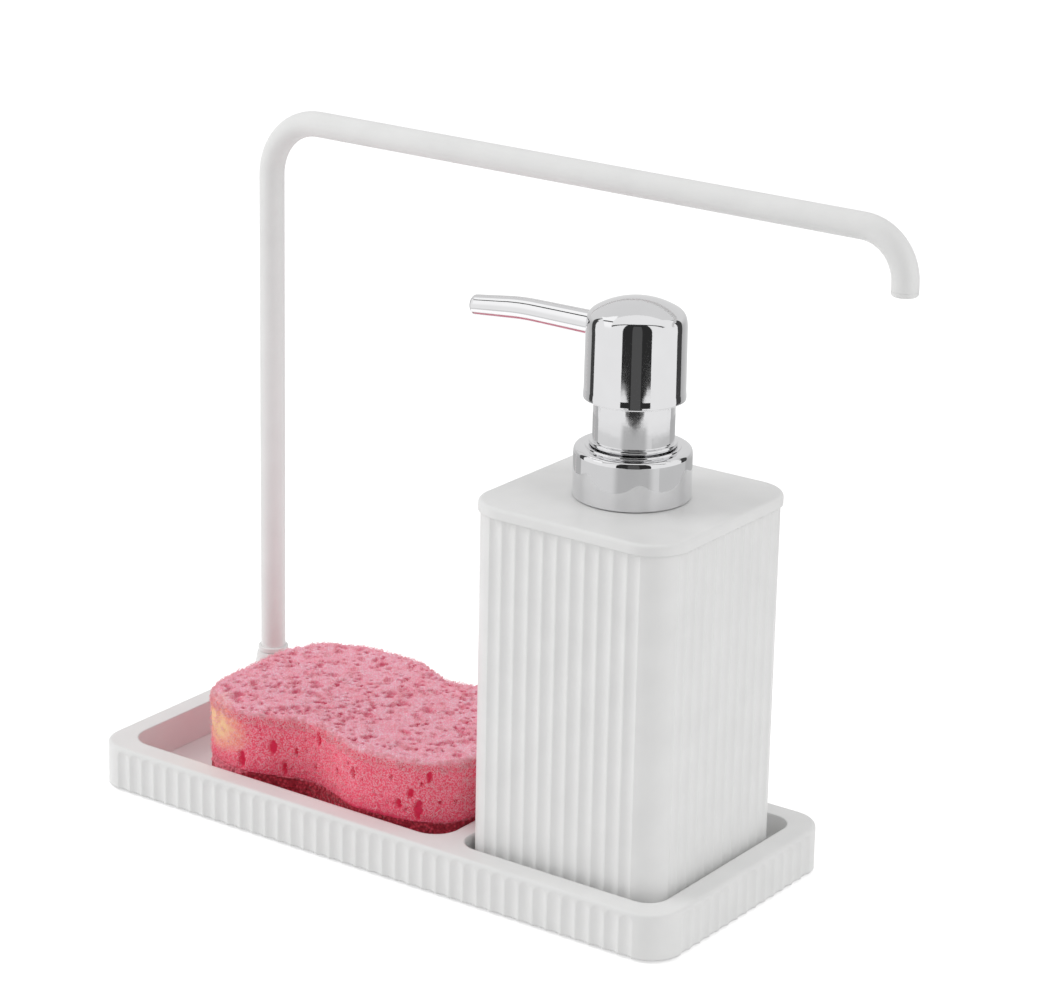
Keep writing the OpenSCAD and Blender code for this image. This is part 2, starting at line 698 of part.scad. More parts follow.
// The lock ring plugs into the cylinder, stands on the flange and guides the stem
module lock_ring() {
    foot = sleeve_r - sleeve_wall - seat_gap;
    tower = cylinder_r + turn_gap;
    color("gainsboro") at_pump() rotate_extrude($fn = round_n) polygon([
        [stem_r + slide_gap, flange_z - lock_spigot], [cylinder_bore_r - seat_gap, flange_z - lock_spigot],
        [cylinder_bore_r - seat_gap, flange_z], [foot, flange_z], [foot, flange_z + lock_foot_h],
        [tower, flange_z + lock_foot_h], [tower, lock_top_z], [stem_r + slide_gap, lock_top_z]]);
}

module guide_sleeve() {
    bead_z = collar_top_z + lip_h + turn_gap;
    edge = bead_h / 2;
    color("silver") at_pump() rotate_extrude($fn = round_n) polygon(concat(
        [[sleeve_r - sleeve_wall, flange_z], [sleeve_r, flange_z], [sleeve_r, bead_z]],
        arc_points(bead_r - edge, bead_z + edge, edge, edge, -90, 90),
        [[sleeve_r, bead_z + bead_h], [sleeve_r, sleeve_top_z], [sleeve_r - sleeve_wall, sleeve_top_z]]));
}

// A round wire on a helix, as one closed tube
function helix_ring(i, pitch) =
    let (a = 360 * i / turn_steps, tilt = atan2(pitch, 360 * spring_r / (180 / PI)),
        radial = [cos(a), sin(a), 0],
        up = [sin(tilt) * sin(a), -sin(tilt) * cos(a), cos(tilt)])
    [for (k = [0:wire_sides - 1]) let (b = 360 * k / wire_sides)
        spring_r * radial + [0, 0, pitch * i / turn_steps]
            + spring_wire_r * (cos(b) * radial + sin(b) * up)];

module return_spring() {
    steps = spring_turns * turn_steps;
    free = spring_l - 2 * spring_wire_r - 2 * seat_gap;
    points = [for (i = [0:steps]) each helix_ring(i, free / spring_turns)];
    sides = [for (i = [0:steps - 1], k = [0:wire_sides - 1])
        let (a = i * wire_sides + k, b = i * wire_sides + (k + 1) % wire_sides)
        each [[a, b, b + wire_sides], [a, b + wire_sides, a + wire_sides]]];
    caps = [[for (k = [wire_sides - 1:-1:0]) k], [for (k = [0:wire_sides - 1]) steps * wire_sides + k]];
    color("silver") at_pump(spring_seat_z + spring_wire_r + seat_gap)
        polyhedron(points = points, faces = concat(sides, caps));
}

// The piston grips the stem's lower end and the rod that carries it
module piston_rod() {
    color("ivory") at_pump(piston_z - seat_gap) {
        translate([0, 0, -rod_flange_t]) cylinder(r = spring_r + spring_wire_r, h = rod_flange_t, $fn = round_n);
        translate([0, 0, -rod_flange_t - rod_plug_l])
            cylinder(r = spring_r - spring_wire_r - turn_gap, h = rod_plug_l, $fn = round_n);
        cylinder(r = rod_r, h = rod_l, $fn = round_n);
    }
}

module piston_seal() {
    wiper = cylinder_bore_r - slide_gap;
    groove = turn_gap;
    band = piston_l / 4;
    color("lightgrey") at_pump(piston_z) rotate_extrude($fn = round_n) polygon([
        [rod_r + seat_gap, 0], [wiper, 0], [wiper, band], [wiper - groove, band],
        [wiper - groove, piston_l - band], [wiper, piston_l - band], [wiper, piston_l],
        [stem_r + seat_gap, piston_l], [stem_r + seat_gap, piston_web], [rod_r + seat_gap, piston_web]]);
}

module pump_stem() {
    z = piston_z + piston_web + seat_gap;
    color("ivory") at_pump(z) tube(stem_r, stem_bore_r, core_boss_z + stem_socket - z);
}

// The core carries the stem and the spout inside the chromed shell
module head_core() {
    in_r = head_r - head_wall;
    core_r = in_r - seat_gap;
    rise = (core_top_z - dome_z) / (head_dome_h - head_wall);
    top_r = in_r * sqrt(1 - pow(rise, 2)) - turn_gap;
    color("gainsboro") at_pump() difference() {
        rotate_extrude($fn = round_n) polygon([
            [0, core_boss_z], [core_boss_r, core_boss_z], [core_boss_r, core_under_z],
            [core_r, core_under_z], [core_r, dome_z], [top_r, core_top_z], [0, core_top_z]]);
        translate([0, 0, core_boss_z - cut])
            cylinder(r = stem_r + seat_gap, h = stem_socket + seat_gap + cut, $fn = round_n);
        translate([0, 0, core_boss_z]) cylinder(r = spout_feed_r, h = spout_z - core_boss_z, $fn = round_n);
        translate([0, 0, spout_z]) rotate([0, -90, 0]) {
            cylinder(r = spout_feed_r, h = head_r, $fn = round_n);
            translate([0, 0, core_r - spout_seat]) cylinder(r = spout_root_r + seat_gap, h = head_r, $fn = round_n);
        }
    }
}

module head_shell() {
    in_r = head_r - head_wall;
    in_h = head_dome_h - head_wall;
    color("silver") at_pump() difference() {
        rotate_extrude($fn = round_n) polygon(concat(
            [[in_r, skirt_z], [head_r, skirt_z]],
            arc_points(0, dome_z, head_r, head_dome_h, 0, dome_arc),
            [[0, dome_z + head_dome_h * sin(dome_arc)], [0, dome_z + in_h * sin(dome_arc)]],
            arc_points(0, dome_z, in_r, in_h, dome_arc, 0)));
        translate([0, 0, spout_z]) rotate([0, -90, 0])
            cylinder(r = spout_root_r + seat_gap, h = 2 * head_r, $fn = round_n);
    }
}

// The spout runs out towards -X, turns slightly down at a knee and ends in a rounded tip
module at_spout_knee() {
    translate([-spout_straight, 0, 0]) children();
}

module at_spout_end() {
    at_spout_knee() rotate([0, -90 - spout_droop, 0]) children();
}

module spout() {
    root_x = head_r - head_wall - spout_seat;
    color("silver") at_pump(spout_z) difference() {
        union() {
            rotate([0, -90, 0]) translate([0, 0, root_x])
                cylinder(r1 = spout_root_r, r2 = spout_mid_r, h = spout_straight - root_x, $fn = round_n);
            at_spout_knee() rotate([0, 90, 0]) sphere(r = spout_mid_r, $fn = round_n);
            at_spout_end() rotate_extrude($fn = round_n) polygon(concat([[0, 0], [spout_mid_r, 0]],
                arc_points(spout_tip_r - spout_tip_round, spout_end_l - spout_tip_round,
                    spout_tip_round, spout_tip_round, 0, 90), [[0, spout_end_l]]));
        }
        rotate([0, -90, 0]) cylinder(r = spout_feed_r, h = spout_straight, $fn = round_n);
        at_spout_end() translate([0, 0, -spout_bore_r])
            cylinder(r = spout_bore_r, h = spout_bore_r + spout_end_l + cut, $fn = round_n);
    }
}

tray();
foot_pads();
rail_tube();
rail_end_cap();
rail_base_ring();
rail_insert();
rail_screw();
rail_washer();
sponge_foam();
sponge_scrub_layer();
bottle_body();
bottle_top();
neck_gasket();
screw_cap();
collar_shell();
pump_housing();
lock_ring();
guide_sleeve();
valve_ball();
dip_tube();
return_spring();
piston_rod();
piston_seal();
pump_stem();
head_core();
head_shell();
spout();
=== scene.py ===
import json
import math

import bpy
import numpy as np
from mathutils import Matrix, Vector, noise


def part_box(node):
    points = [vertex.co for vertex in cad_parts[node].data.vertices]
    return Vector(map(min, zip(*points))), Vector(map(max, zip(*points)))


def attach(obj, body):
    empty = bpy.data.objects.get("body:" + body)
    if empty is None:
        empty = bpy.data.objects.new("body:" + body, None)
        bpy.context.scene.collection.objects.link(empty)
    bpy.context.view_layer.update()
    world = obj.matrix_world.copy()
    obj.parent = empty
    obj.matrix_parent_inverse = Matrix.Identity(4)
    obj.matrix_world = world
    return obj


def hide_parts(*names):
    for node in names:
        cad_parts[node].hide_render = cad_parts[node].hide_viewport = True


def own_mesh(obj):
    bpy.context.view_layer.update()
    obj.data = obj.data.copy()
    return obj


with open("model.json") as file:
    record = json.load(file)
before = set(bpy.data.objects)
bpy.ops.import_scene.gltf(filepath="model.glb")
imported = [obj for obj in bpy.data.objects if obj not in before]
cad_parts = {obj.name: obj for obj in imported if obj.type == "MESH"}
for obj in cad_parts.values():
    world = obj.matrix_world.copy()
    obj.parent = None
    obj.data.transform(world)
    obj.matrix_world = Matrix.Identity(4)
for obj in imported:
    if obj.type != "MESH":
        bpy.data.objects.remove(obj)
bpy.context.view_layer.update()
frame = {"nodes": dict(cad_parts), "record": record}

MM = 0.001
SEED = 11

# The camera, as fitted to the photograph: degrees, millimetres and photograph pixels
PHOTO_W = 1042
PHOTO_H = 1008
VIEW_AZIMUTH = 35.6
VIEW_ELEVATION = 18.13
VIEW_ROLL = 1.1
VIEW_DISTANCE = 995.21
VIEW_TARGET = (6.82, 0.0, 116.42)
FOCAL_PX = 3554.94
CENTRE_PX = (513.57, 458.69)
SENSOR_W = 36.0

# Light levels, where 1 shows as white
AMBIENT = 0.60
FLOOR_TONE = 0.9
FLOOR_LIFT = 0.48
KEY_WATTS = 8.6
FILL_WATTS = 5.4

# The pump's axis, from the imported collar
collar_low, collar_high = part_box("collar_shell")
PUMP_X = (collar_low.x + collar_high.x) / 2
PUMP_Y = (collar_low.y + collar_high.y) / 2


# Meshes

def mesh_object(name, points, faces, material, smooth=True):
    mesh = bpy.data.meshes.new(name)
    mesh.from_pydata([tuple(p) for p in points], [], faces)
    mesh.update()
    if smooth:
        mesh.polygons.foreach_set("use_smooth", [True] * len(mesh.polygons))
    mesh.materials.append(material)
    obj = bpy.data.objects.new(name, mesh)
    bpy.context.scene.collection.objects.link(obj)
    return obj


def rounded(corners, steps=6):
    """Outline points of (a, b, radius) corners, in order, each turned into a small arc."""
    most_of_side = 0.49
    points = []
    count = len(corners)
    for i, (a, b, radius) in enumerate(corners):
        here = np.array([a, b], float)
        if radius <= 0:
            points.append(here)
            continue
        before = np.array(corners[(i - 1) % count][:2], float) - here
        after = np.array(corners[(i + 1) % count][:2], float) - here
        before_l = np.linalg.norm(before)
        after_l = np.linalg.norm(after)
        before /= before_l
        after /= after_l
        half = math.acos(max(-1.0, min(1.0, float(before @ after)))) / 2
        reach = min(radius / math.tan(half), before_l * most_of_side, after_l * most_of_side)
        start = here + before * reach
        end = here + after * reach
        for k in range(steps + 1):
            t = k / steps
            points.append(start * (1 - t) ** 2 + here * 2 * t * (1 - t) + end * t ** 2)
    return points


def supported(outline, closed):
    """Adds points near the ends of long runs, so that smooth shading stays flat between them."""
    near = 0.12 * MM
    points = []
    for i, here in enumerate(outline):
        here = np.array(here, float)
        points.append(here)
        if i == len(outline) - 1 and not closed:
            break
        after = np.array(outline[(i + 1) % len(outline)], float)
        run = np.linalg.norm(after - here)
        if run > 4 * near:
            points.append(here + (after - here) * near / run)
            points.append(after - (after - here) * near / run)
    return points


def skin(rings, closed=False):
    """Points and faces over rings, each anticlockwise as seen from the next. One point makes a pole."""
    points = []
    starts = []
    for ring in rings:
        starts.append(len(points))
        points.extend(tuple(p) for p in ring)
    faces = []
    for i in range(len(rings) if closed else len(rings) - 1):
        after = (i + 1) % len(rings)
        a = starts[i]
        b = starts[after]
        turns = max(len(rings[i]), len(rings[after]))
        for j in range(turns):
            k = (j + 1) % turns
            if len(rings[i]) == 1:
                faces.append((a, b + k, b + j))
            elif len(rings[after]) == 1:
                faces.append((a + j, a + k, b))
            else:
                faces.append((a + j, a + k, b + k, b + j))
    return points, faces


def capped(rings):
    """The same rings between two poles, one in the middle of each end."""
    poles = [[np.mean([tuple(p) for p in ring], axis=0)] for ring in (rings[0], rings[-1])]
    return [poles[0], *rings, poles[1]]


def full_turn(count):
    return np.linspace(0, 2 * math.pi, count, endpoint=False)


def lathe(name, outline, material, closed=True):
    """Turns an anticlockwise outline of (radius, height) points about the pump's axis."""
    angles = full_turn(256)
    rings = []
    for radius, height in supported(outline, closed):
        if radius == 0:
            rings.append([(PUMP_X, PUMP_Y, height)])
            continue
        rings.append([
            (PUMP_X + radius * math.cos(a), PUMP_Y + radius * math.sin(a), height)
            for a in angles])
    points, faces = skin(rings, closed)
    return mesh_object(name, points, faces, material)


# Materials

def new_material(name):
    material = bpy.data.materials.new(name)
    material.use_nodes = True
    tree = material.node_tree
    return material, tree, tree.nodes["Principled BSDF"]


def add_node(tree, kind, values=None, **settings):
    node = tree.nodes.new(kind)
    for key, value in settings.items():
        setattr(node, key, value)
    for key, value in (values or {}).items():
        node.inputs[key].default_value = value
    return node


def noise_field(tree, per_metre, detail=2.0, roughness=0.5):
    place = add_node(tree, "ShaderNodeTexCoord")
    values = {"Scale": per_metre, "Detail": detail, "Roughness": roughness}
    field = add_node(tree, "ShaderNodeTexNoise", values)
    tree.links.new(place.outputs["Object"], field.inputs["Vector"])
    return field.outputs["Fac"]


def cell_field(tree, per_metre):
    """How far each point is from the middle of its cell."""
    place = add_node(tree, "ShaderNodeTexCoord")
    cells = add_node(tree, "ShaderNodeTexVoronoi", {"Scale": per_metre, "Randomness": 1.0})
    tree.links.new(place.outputs["Object"], cells.inputs["Vector"])
    return cells.outputs["Distance"]


def painted(tree, name):
    """The values that a piece's mesh holds under this name."""
    return add_node(tree, "ShaderNodeAttribute", attribute_name=name).outputs["Fac"]


def spread(tree, source, low, high, span=(0.3, 0.7)):
    """A field mapped to numbers between low and high."""
    values = {"From Min": span[0], "From Max": span[1], "To Min": low, "To Max": high}
    node = add_node(tree, "ShaderNodeMapRange", values)
    tree.links.new(source, node.inputs["Value"])
    return node.outputs["Result"]


def blended(tree, share, first, second):
    """Mixes two colours, each a socket or plain numbers."""
    node = add_node(tree, "ShaderNodeMix", data_type="RGBA")
    tree.links.new(share, node.inputs["Factor"])
    for socket, colour in (("A", first), ("B", second)):
        if isinstance(colour, tuple):
            node.inputs[socket].default_value = (*colour, 1)
        else:
            tree.links.new(colour, node.inputs[socket])
    return node.outputs["Result"]


def surface_bump(tree, source, depth, edge=0.0, inverted=False):
    """Bump of a depth in metres, over edges that are rounded by the radius edge."""
    bump = add_node(tree, "ShaderNodeBump", {"Strength": 1.0, "Distance": depth}, invert=inverted)
    tree.links.new(source, bump.inputs["Height"])
    if edge:
        bevel = add_node(tree, "ShaderNodeBevel", {"Radius": edge}, samples=6)
        tree.links.new(bevel.outputs["Normal"], bump.inputs["Normal"])
    return bump.outputs["Normal"]


def finished(tree, shader, colours, clouds_per_metre, gloss_span, gloss_per_metre, grain, edge):
    """A cloudy colour, an uneven gloss and a grain of (count per metre, depth)."""
    cloudy = spread(tree, noise_field(tree, clouds_per_metre, 3.0), 0.0, 1.0)
    tree.links.new(blended(tree, cloudy, *colours), shader.inputs["Base Color"])
    gloss = spread(tree, noise_field(tree, gloss_per_metre), *gloss_span)
    tree.links.new(gloss, shader.inputs["Roughness"])
    grain_per_metre, grain_depth = grain
    normal = surface_bump(tree, noise_field(tree, grain_per_metre), grain_depth, edge)
    tree.links.new(normal, shader.inputs["Normal"])


def moulded(name, tone, gloss, grain, edge=0.0, mottle=0.02, specular=0.5):
    """A moulded or coated surface: a faint mottle, an uneven gloss and a fine grain."""
    material, tree, shader = new_material(name)
    mottle_per_metre = 90
    gloss_per_metre = 240
    gloss_change = 0.05
    low = tuple(c * (1 - mottle) for c in tone)
    high = tuple(min(1.0, c * (1 + mottle)) for c in tone)
    gloss_span = (gloss - gloss_change, gloss + gloss_change)
    finished(tree, shader, (low, high), mottle_per_metre, gloss_span, gloss_per_metre, grain, edge)
    shader.inputs["Specular IOR Level"].default_value = specular
    return material


def metal(name, tone, gloss, grain):
    """A plated or plain metal, a little duller and rougher in places."""
    material, tree, shader = new_material(name)
    shader.inputs["Metallic"].default_value = 1.0
    clouds_per_metre = 120
    gloss_per_metre = 300
    duller = 0.965
    rougher = 1.6
    low = tuple(c * duller for c in tone)
    gloss_span = (gloss, gloss * rougher)
    finished(tree, shader, (low, tone), clouds_per_metre, gloss_span, gloss_per_metre, grain, 0.0)
    return material


def foam_material():
    """Pink open-cell foam: pale struts round deeper cells, a yellow stain at one end, and painted light:
    a paler top over deeper red sides, a painted highlight along the upper rim, and crimson painted shade
    in pores, pits and towards the foot.
    """
    material, tree, shader = new_material("pink_foam")
    # The cell and strut tones come in side and top pairs: the top is painted paler, as the light falls on
    # it, and the sides deeper red.
    side_cell = (0.92, 0.10, 0.17)
    top_cell = (0.96, 0.38, 0.50)
    side_strut = (1.0, 0.43, 0.52)
    top_strut = (1.0, 0.74, 0.82)
    # Painted highlight along the foam's upper rim.
    rim_tone = (1.0, 0.72, 0.80)
    cloud_tone = (1.0, 0.20, 0.29)
    # Painted shade in pores and pits: crimson, darker on the top than on the sides.
    side_pit_shade = (0.86, 0.045, 0.13)
    top_pit_shade = (0.62, 0.035, 0.10)
    stain_tone = (1.0, 0.72, 0.38)
    cells_per_metre = 2050
    clouds_per_metre = 150
    strut = spread(tree, cell_field(tree, cells_per_metre), 1.0, 0.0, (0.22, 0.62))
    # How far the foam faces up, which picks the painted paler top over the deeper red sides.
    upper = painted(tree, "upper")
    cell_tone = blended(tree, upper, side_cell, top_cell)
    strut_tone = blended(tree, upper, side_strut, top_strut)
    foam_tone = blended(tree, strut, cell_tone, strut_tone)
    rimmed = blended(tree, painted(tree, "rim"), foam_tone, rim_tone)
    cloudy = spread(tree, noise_field(tree, clouds_per_metre, 4.0, 0.65), 0.0, 0.4, (0.4, 0.72))
    clouded = blended(tree, cloudy, rimmed, cloud_tone)
    pit_shade_tone = blended(tree, upper, side_pit_shade, top_pit_shade)
    pit_shaded = blended(tree, painted(tree, "hollow"), clouded, pit_shade_tone)
    stained = blended(tree, painted(tree, "stain"), pit_shaded, stain_tone)
    tree.links.new(stained, shader.inputs["Base Color"])
    shader.inputs["Roughness"].default_value = 0.9
    shader.inputs["Specular IOR Level"].default_value = 0.2
    shader.inputs["Sheen Weight"].default_value = 0.1
    shader.inputs["Sheen Roughness"].default_value = 0.5
    tree.links.new(surface_bump(tree, strut, 0.05 * MM), shader.inputs["Normal"])
    return material


def strand_material():
    """The pale cut ends of the foam's struts."""
    material, tree, shader = new_material("foam_strands")
    deep_tone = (0.96, 0.42, 0.49)
    pale_tone = (1.0, 0.70, 0.74)
    uneven = spread(tree, noise_field(tree, 500), 0.0, 1.0)
    tree.links.new(blended(tree, uneven, deep_tone, pale_tone), shader.inputs["Base Color"])
    shader.inputs["Roughness"].default_value = 0.85
    shader.inputs["Specular IOR Level"].default_value = 0.2
    normal = surface_bump(tree, noise_field(tree, 4000), 0.03 * MM)
    tree.links.new(normal, shader.inputs["Normal"])
    return material


def scrub_material():
    """Dark red scrub layer: coarse fibres with lighter specks, and the foam that hangs over it. Its dark
    crimson also stands in as painted shade for the shade low in the well, below the tray's rim.
    """
    material, tree, shader = new_material("red_scrub")
    # Dark crimson that is partly the layer's own colour and partly painted shade low in the well.
    shaded_fibre_tone = (0.42, 0.012, 0.035)
    speck_tone = (0.82, 0.07, 0.12)
    foam_tone = (0.93, 0.20, 0.28)
    fibres_per_metre = 900
    cells = cell_field(tree, fibres_per_metre)
    specks = spread(tree, cells, 1.0, 0.0, (0.05, 0.55))
    fibres = blended(tree, specks, shaded_fibre_tone, speck_tone)
    covered = blended(tree, painted(tree, "foamy"), fibres, foam_tone)
    tree.links.new(covered, shader.inputs["Base Color"])
    shader.inputs["Roughness"].default_value = 0.8
    shader.inputs["Sheen Weight"].default_value = 0.2
    tree.links.new(surface_bump(tree, cells, 0.6 * MM, inverted=True), shader.inputs["Normal"])
    return material


WHITE = (0.88, 0.88, 0.875)
PUMP_WHITE = (0.76, 0.76, 0.74)
MILKY = (0.78, 0.80, 0.80)
PAD_GREY = (0.48, 0.48, 0.47)
GASKET_GREY = (0.52, 0.52, 0.51)
CHROME = (0.80, 0.80, 0.81)
STEEL = (0.56, 0.56, 0.57)
BRASS = (0.72, 0.52, 0.22)
RUBBER = {"mottle": 0.05, "specular": 0.3}
MATERIALS = {
    "tray_white": moulded("tray_white", WHITE, 0.48, (2600, 0.02 * MM), 0.8 * MM),
    "bottle_white": moulded("bottle_white", WHITE, 0.42, (2600, 0.012 * MM), 0.3 * MM),
    "rail_white": moulded("rail_white", WHITE, 0.45, (1500, 0.03 * MM), 0.2 * MM),
    "pump_plastic": moulded("pump_plastic", PUMP_WHITE, 0.5, (2000, 0.02 * MM), 0.2 * MM),
    "clear_plastic": moulded("clear_plastic", MILKY, 0.3, (1500, 0.01 * MM)),
    "pad_rubber": moulded("pad_rubber", PAD_GREY, 0.75, (1800, 0.05 * MM), 0.3 * MM, **RUBBER),
    "gasket_rubber": moulded("gasket_rubber", GASKET_GREY, 0.7, (1800, 0.04 * MM), 0.2 * MM, **RUBBER),
    "chrome": metal("chrome", CHROME, 0.035, (260, 0.004 * MM)),
    "steel": metal("steel", STEEL, 0.25, (900, 0.01 * MM)),
    "brass": metal("brass", BRASS, 0.28, (900, 0.01 * MM)),
    "foam": foam_material(),
    "scrub": scrub_material(),
    "strands": strand_material(),
}


def dress_cad_nodes():
    """Gives each CAD node the material of its slot in the record."""
    slots = {part["node"]: part["material_slot"] for part in frame["record"]["subparts"]}
    for name, obj in frame["nodes"].items():
        obj.data.materials.clear()
        obj.data.materials.append(MATERIALS[slots[name]])


# The pump's outside, and its spring

def chrome_collar():
    low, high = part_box("collar_shell")
    wall = 0.6 * MM
    inner_r = 15.5 * MM
    foot_r = (high.x - low.x) / 2
    top_r = foot_r - 0.12 * MM
    lip_foot_r = 13.25 * MM
    lip_top_r = 13.1 * MM
    hole_r = 11.7 * MM
    hole_flare = 0.15 * MM
    shelf = high.z - 0.5 * MM
    shoulder = 1.7 * MM
    crisp = 0.1 * MM
    soft = 0.25 * MM
    corners = [
        (inner_r, low.z, crisp),
        (foot_r, low.z, soft),
        (top_r, shelf, shoulder),
        (lip_foot_r, shelf, soft),
        (lip_top_r, high.z, soft),
        (hole_r + hole_flare, high.z, 0.2 * MM),
        (hole_r, shelf - wall, crisp),
        (inner_r, shelf - wall, crisp),
    ]
    obj = lathe("chrome_collar", rounded(corners), MATERIALS["chrome"])
    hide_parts("collar_shell")
    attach(obj, "collar")


def chrome_sleeve():
    """The fixed sleeve that the head slides over, with a bead just above the collar."""
    low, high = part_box("guide_sleeve")
    wall = 0.6 * MM
    bead_r = (high.x - low.x) / 2
    sleeve_r = bead_r - 0.95 * MM
    bead_low = collar_high.z + 0.3 * MM
    bead_high = bead_low + 1.2 * MM
    bead_edge = 0.55 * MM
    corners = [
        (sleeve_r - wall, low.z, 0),
        (sleeve_r, low.z, 0.1 * MM),
        (sleeve_r, bead_low, 0.08 * MM),
        (bead_r, bead_low, bead_edge),
        (bead_r, bead_high, bead_edge),
        (sleeve_r, bead_high, 0.2 * MM),
        (sleeve_r, high.z, 0.15 * MM),
        (sleeve_r - wall, high.z, 0.1 * MM),
    ]
    obj = lathe("chrome_sleeve", rounded(corners), MATERIALS["chrome"])
    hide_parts("guide_sleeve")
    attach(obj, "pump")


def arc_down(outline, radius, start, end, steps):
    """Carries a head outline on along an arc, between two tilts of its normal over the level."""
    r, z = outline[-1]
    first = math.radians(start)
    for k in range(1, steps + 1):
        tilt = math.radians(start + (end - start) * k / steps)
        outline.append(np.array([
            r + radius * (math.cos(tilt) - math.cos(first)),
            z + radius * (math.sin(tilt) - math.sin(first))]))


def chrome_head():
    """A wide flat dome, a tight shoulder and a wall that widens a little to its skirt."""
    low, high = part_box("head_shell")
    wall = 0.7 * MM
    skirt_r = (high.x - low.x) / 2
    foot_r = skirt_r + 0.05 * MM
    dome_r = 22.4 * MM
    dome_end = 58
    shoulder_r = 3.7 * MM
    shoulder_end = 12
    upper_wall_r = 12 * MM
    outer = [np.array([0.0, high.z])]
    arc_down(outer, dome_r, 90, dome_end, 32)
    arc_down(outer, shoulder_r, dome_end, shoulder_end, 24)
    arc_down(outer, upper_wall_r, shoulder_end, 0, 12)
    foot = rounded([
        (outer[-1][0], outer[-1][1], 0),
        (skirt_r - 0.06 * MM, low.z + 2.4 * MM, 3 * MM),
        (foot_r, low.z + 0.9 * MM, 0.5 * MM),
        (foot_r, low.z, 0.3 * MM),
        (skirt_r - wall, low.z, 0.1 * MM),
    ])[1:]
    inner = [np.array([r - wall, z - wall]) for r, z in outer[::-1] if r > wall]
    inner.append(np.array([0.0, high.z - wall]))
    outline = outer + foot + inner
    obj = lathe("chrome_head", outline[::-1], MATERIALS["chrome"], closed=False)
    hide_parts("head_shell")
    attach(obj, "head")


def chrome_spout():
    """A tapered tube with a soft knee and an open, rounded tip."""
    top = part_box("spout")[1].z
    head_low, head_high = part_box("head_shell")
    droop = math.radians(6.5)
    knee_from_axis = 37.4 * MM
    knee_to_tip = 17 * MM
    knee_soft = 4.5 * MM
    knee_narrowing = 0.05 * MM
    root_inside = 3 * MM
    root_r = 3.5 * MM
    mid_r = 3.3 * MM
    tip_r = 2.95 * MM
    lip_r = 0.9 * MM
    bore_r = 1.5 * MM
    bore_depth = 6 * MM
    level = top - root_r
    root = Vector((PUMP_X - ((head_high.x - head_low.x) / 2 - root_inside), PUMP_Y, level))
    knee = Vector((PUMP_X - knee_from_axis, PUMP_Y, level))
    ahead = Vector((-math.cos(droop), 0, -math.sin(droop)))
    bend_start = knee + Vector((knee_soft, 0, 0))
    bend_end = knee + ahead * knee_soft
    lip_start = knee + ahead * (knee_to_tip - lip_r)
    stations = [(root, 0)]
    for t in np.linspace(0, 1, 24):
        stations.append((root.lerp(bend_start, float(t)), root_r + (mid_r - root_r) * t))
    for t in np.linspace(0, 1, 14)[1:]:
        centre = bend_start * (1 - t) ** 2 + knee * 2 * t * (1 - t) + bend_end * t ** 2
        stations.append((centre, mid_r - knee_narrowing * t))
    for t in np.linspace(0, 1, 16)[1:]:
        radius = (mid_r - knee_narrowing) * (1 - t) + tip_r * t
        stations.append((bend_end.lerp(lip_start, float(t)), radius))
    for a in np.radians(np.linspace(0, 90, 9)[1:]):
        centre = knee + ahead * (knee_to_tip - lip_r + lip_r * math.sin(a))
        stations.append((centre, tip_r - lip_r + lip_r * math.cos(a)))
    inside = (
        (0.02 * MM, bore_r + 0.2 * MM),
        (0.12 * MM, bore_r + 0.06 * MM),
        (0.3 * MM, bore_r),
        (bore_depth, bore_r),
        (bore_depth, 0),
    )
    for depth, radius in inside:
        stations.append((knee + ahead * (knee_to_tip - depth), radius))
    points, faces = skin(spout_rings(stations, knee, ahead, knee_soft))
    obj = mesh_object("chrome_spout", points, faces, MATERIALS["chrome"])
    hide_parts("spout")
    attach(obj, "head")


def spout_rings(stations, knee, ahead, knee_soft):
    """A ring at each station, square to the line of the spout where it lies."""
    straight = Vector((-1, 0, 0))
    side = Vector((0, 1, 0))
    angles = full_turn(96)
    rings = []
    for centre, radius in stations:
        if radius == 0:
            rings.append([centre])
            continue
        past = (centre - knee).dot(straight)
        t = min(1.0, max(0.0, (past + knee_soft) / (2 * knee_soft)))
        along = straight.lerp(ahead, t).normalized()
        up = along.cross(side).normalized()
        rings.append([centre + (side * math.cos(a) + up * math.sin(a)) * radius for a in angles])
    return rings


def coil_spring():
    """The return spring, drawn again as a coil of round wire, with a mesh of its own."""
    low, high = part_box("return_spring")
    wire_r = 0.4 * MM
    coil_r = (high.x - low.x) / 2 - wire_r
    coils = 8
    per_coil = 32
    rise = high.z - low.z - 2 * wire_r
    lean = math.atan2(rise / coils, 2 * math.pi * coil_r)
    angles = full_turn(12)
    rings = []
    for i in range(coils * per_coil + 1):
        turn = 2 * math.pi * i / per_coil
        c = math.cos(turn)
        s = math.sin(turn)
        outward = Vector((c, s, 0))
        upward = Vector((math.sin(lean) * s, -math.sin(lean) * c, math.cos(lean)))
        height = low.z + wire_r + rise * i / (coils * per_coil)
        centre = Vector((PUMP_X, PUMP_Y, height)) + outward * coil_r
        rings.append([centre + (outward * math.cos(a) - upward * math.sin(a)) * wire_r for a in angles])
    points, faces = skin(capped(rings))
    obj = mesh_object("coil_spring", points, faces, MATERIALS["steel"])
    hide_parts("return_spring")
    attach(obj, "swivel")
    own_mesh(obj)


# Sponge

SPONGE_POWER = 4
SPONGE_WAIST = 7.3 * MM
WAIST_FRONT_SHIFT = 4.8 * MM
WAIST_BACK_SHIFT = 8.2 * MM
SEAM_OVERLAP = 0.35 * MM
FOOT_EDGE = 0.15 * MM
VOXEL = 0.36 * MM
STRANDS = 10000
foam_low, foam_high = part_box("sponge_foam")
scrub_low, scrub_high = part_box("sponge_scrub_layer")
SPONGE_X = (foam_low.x + foam_high.x) / 2
SPONGE_Y = (foam_low.y + foam_high.y) / 2
SPONGE_HALF_L = (foam_high.x - foam_low.x) / 2
SPONGE_HALF_W = (foam_high.y - foam_low.y) / 2


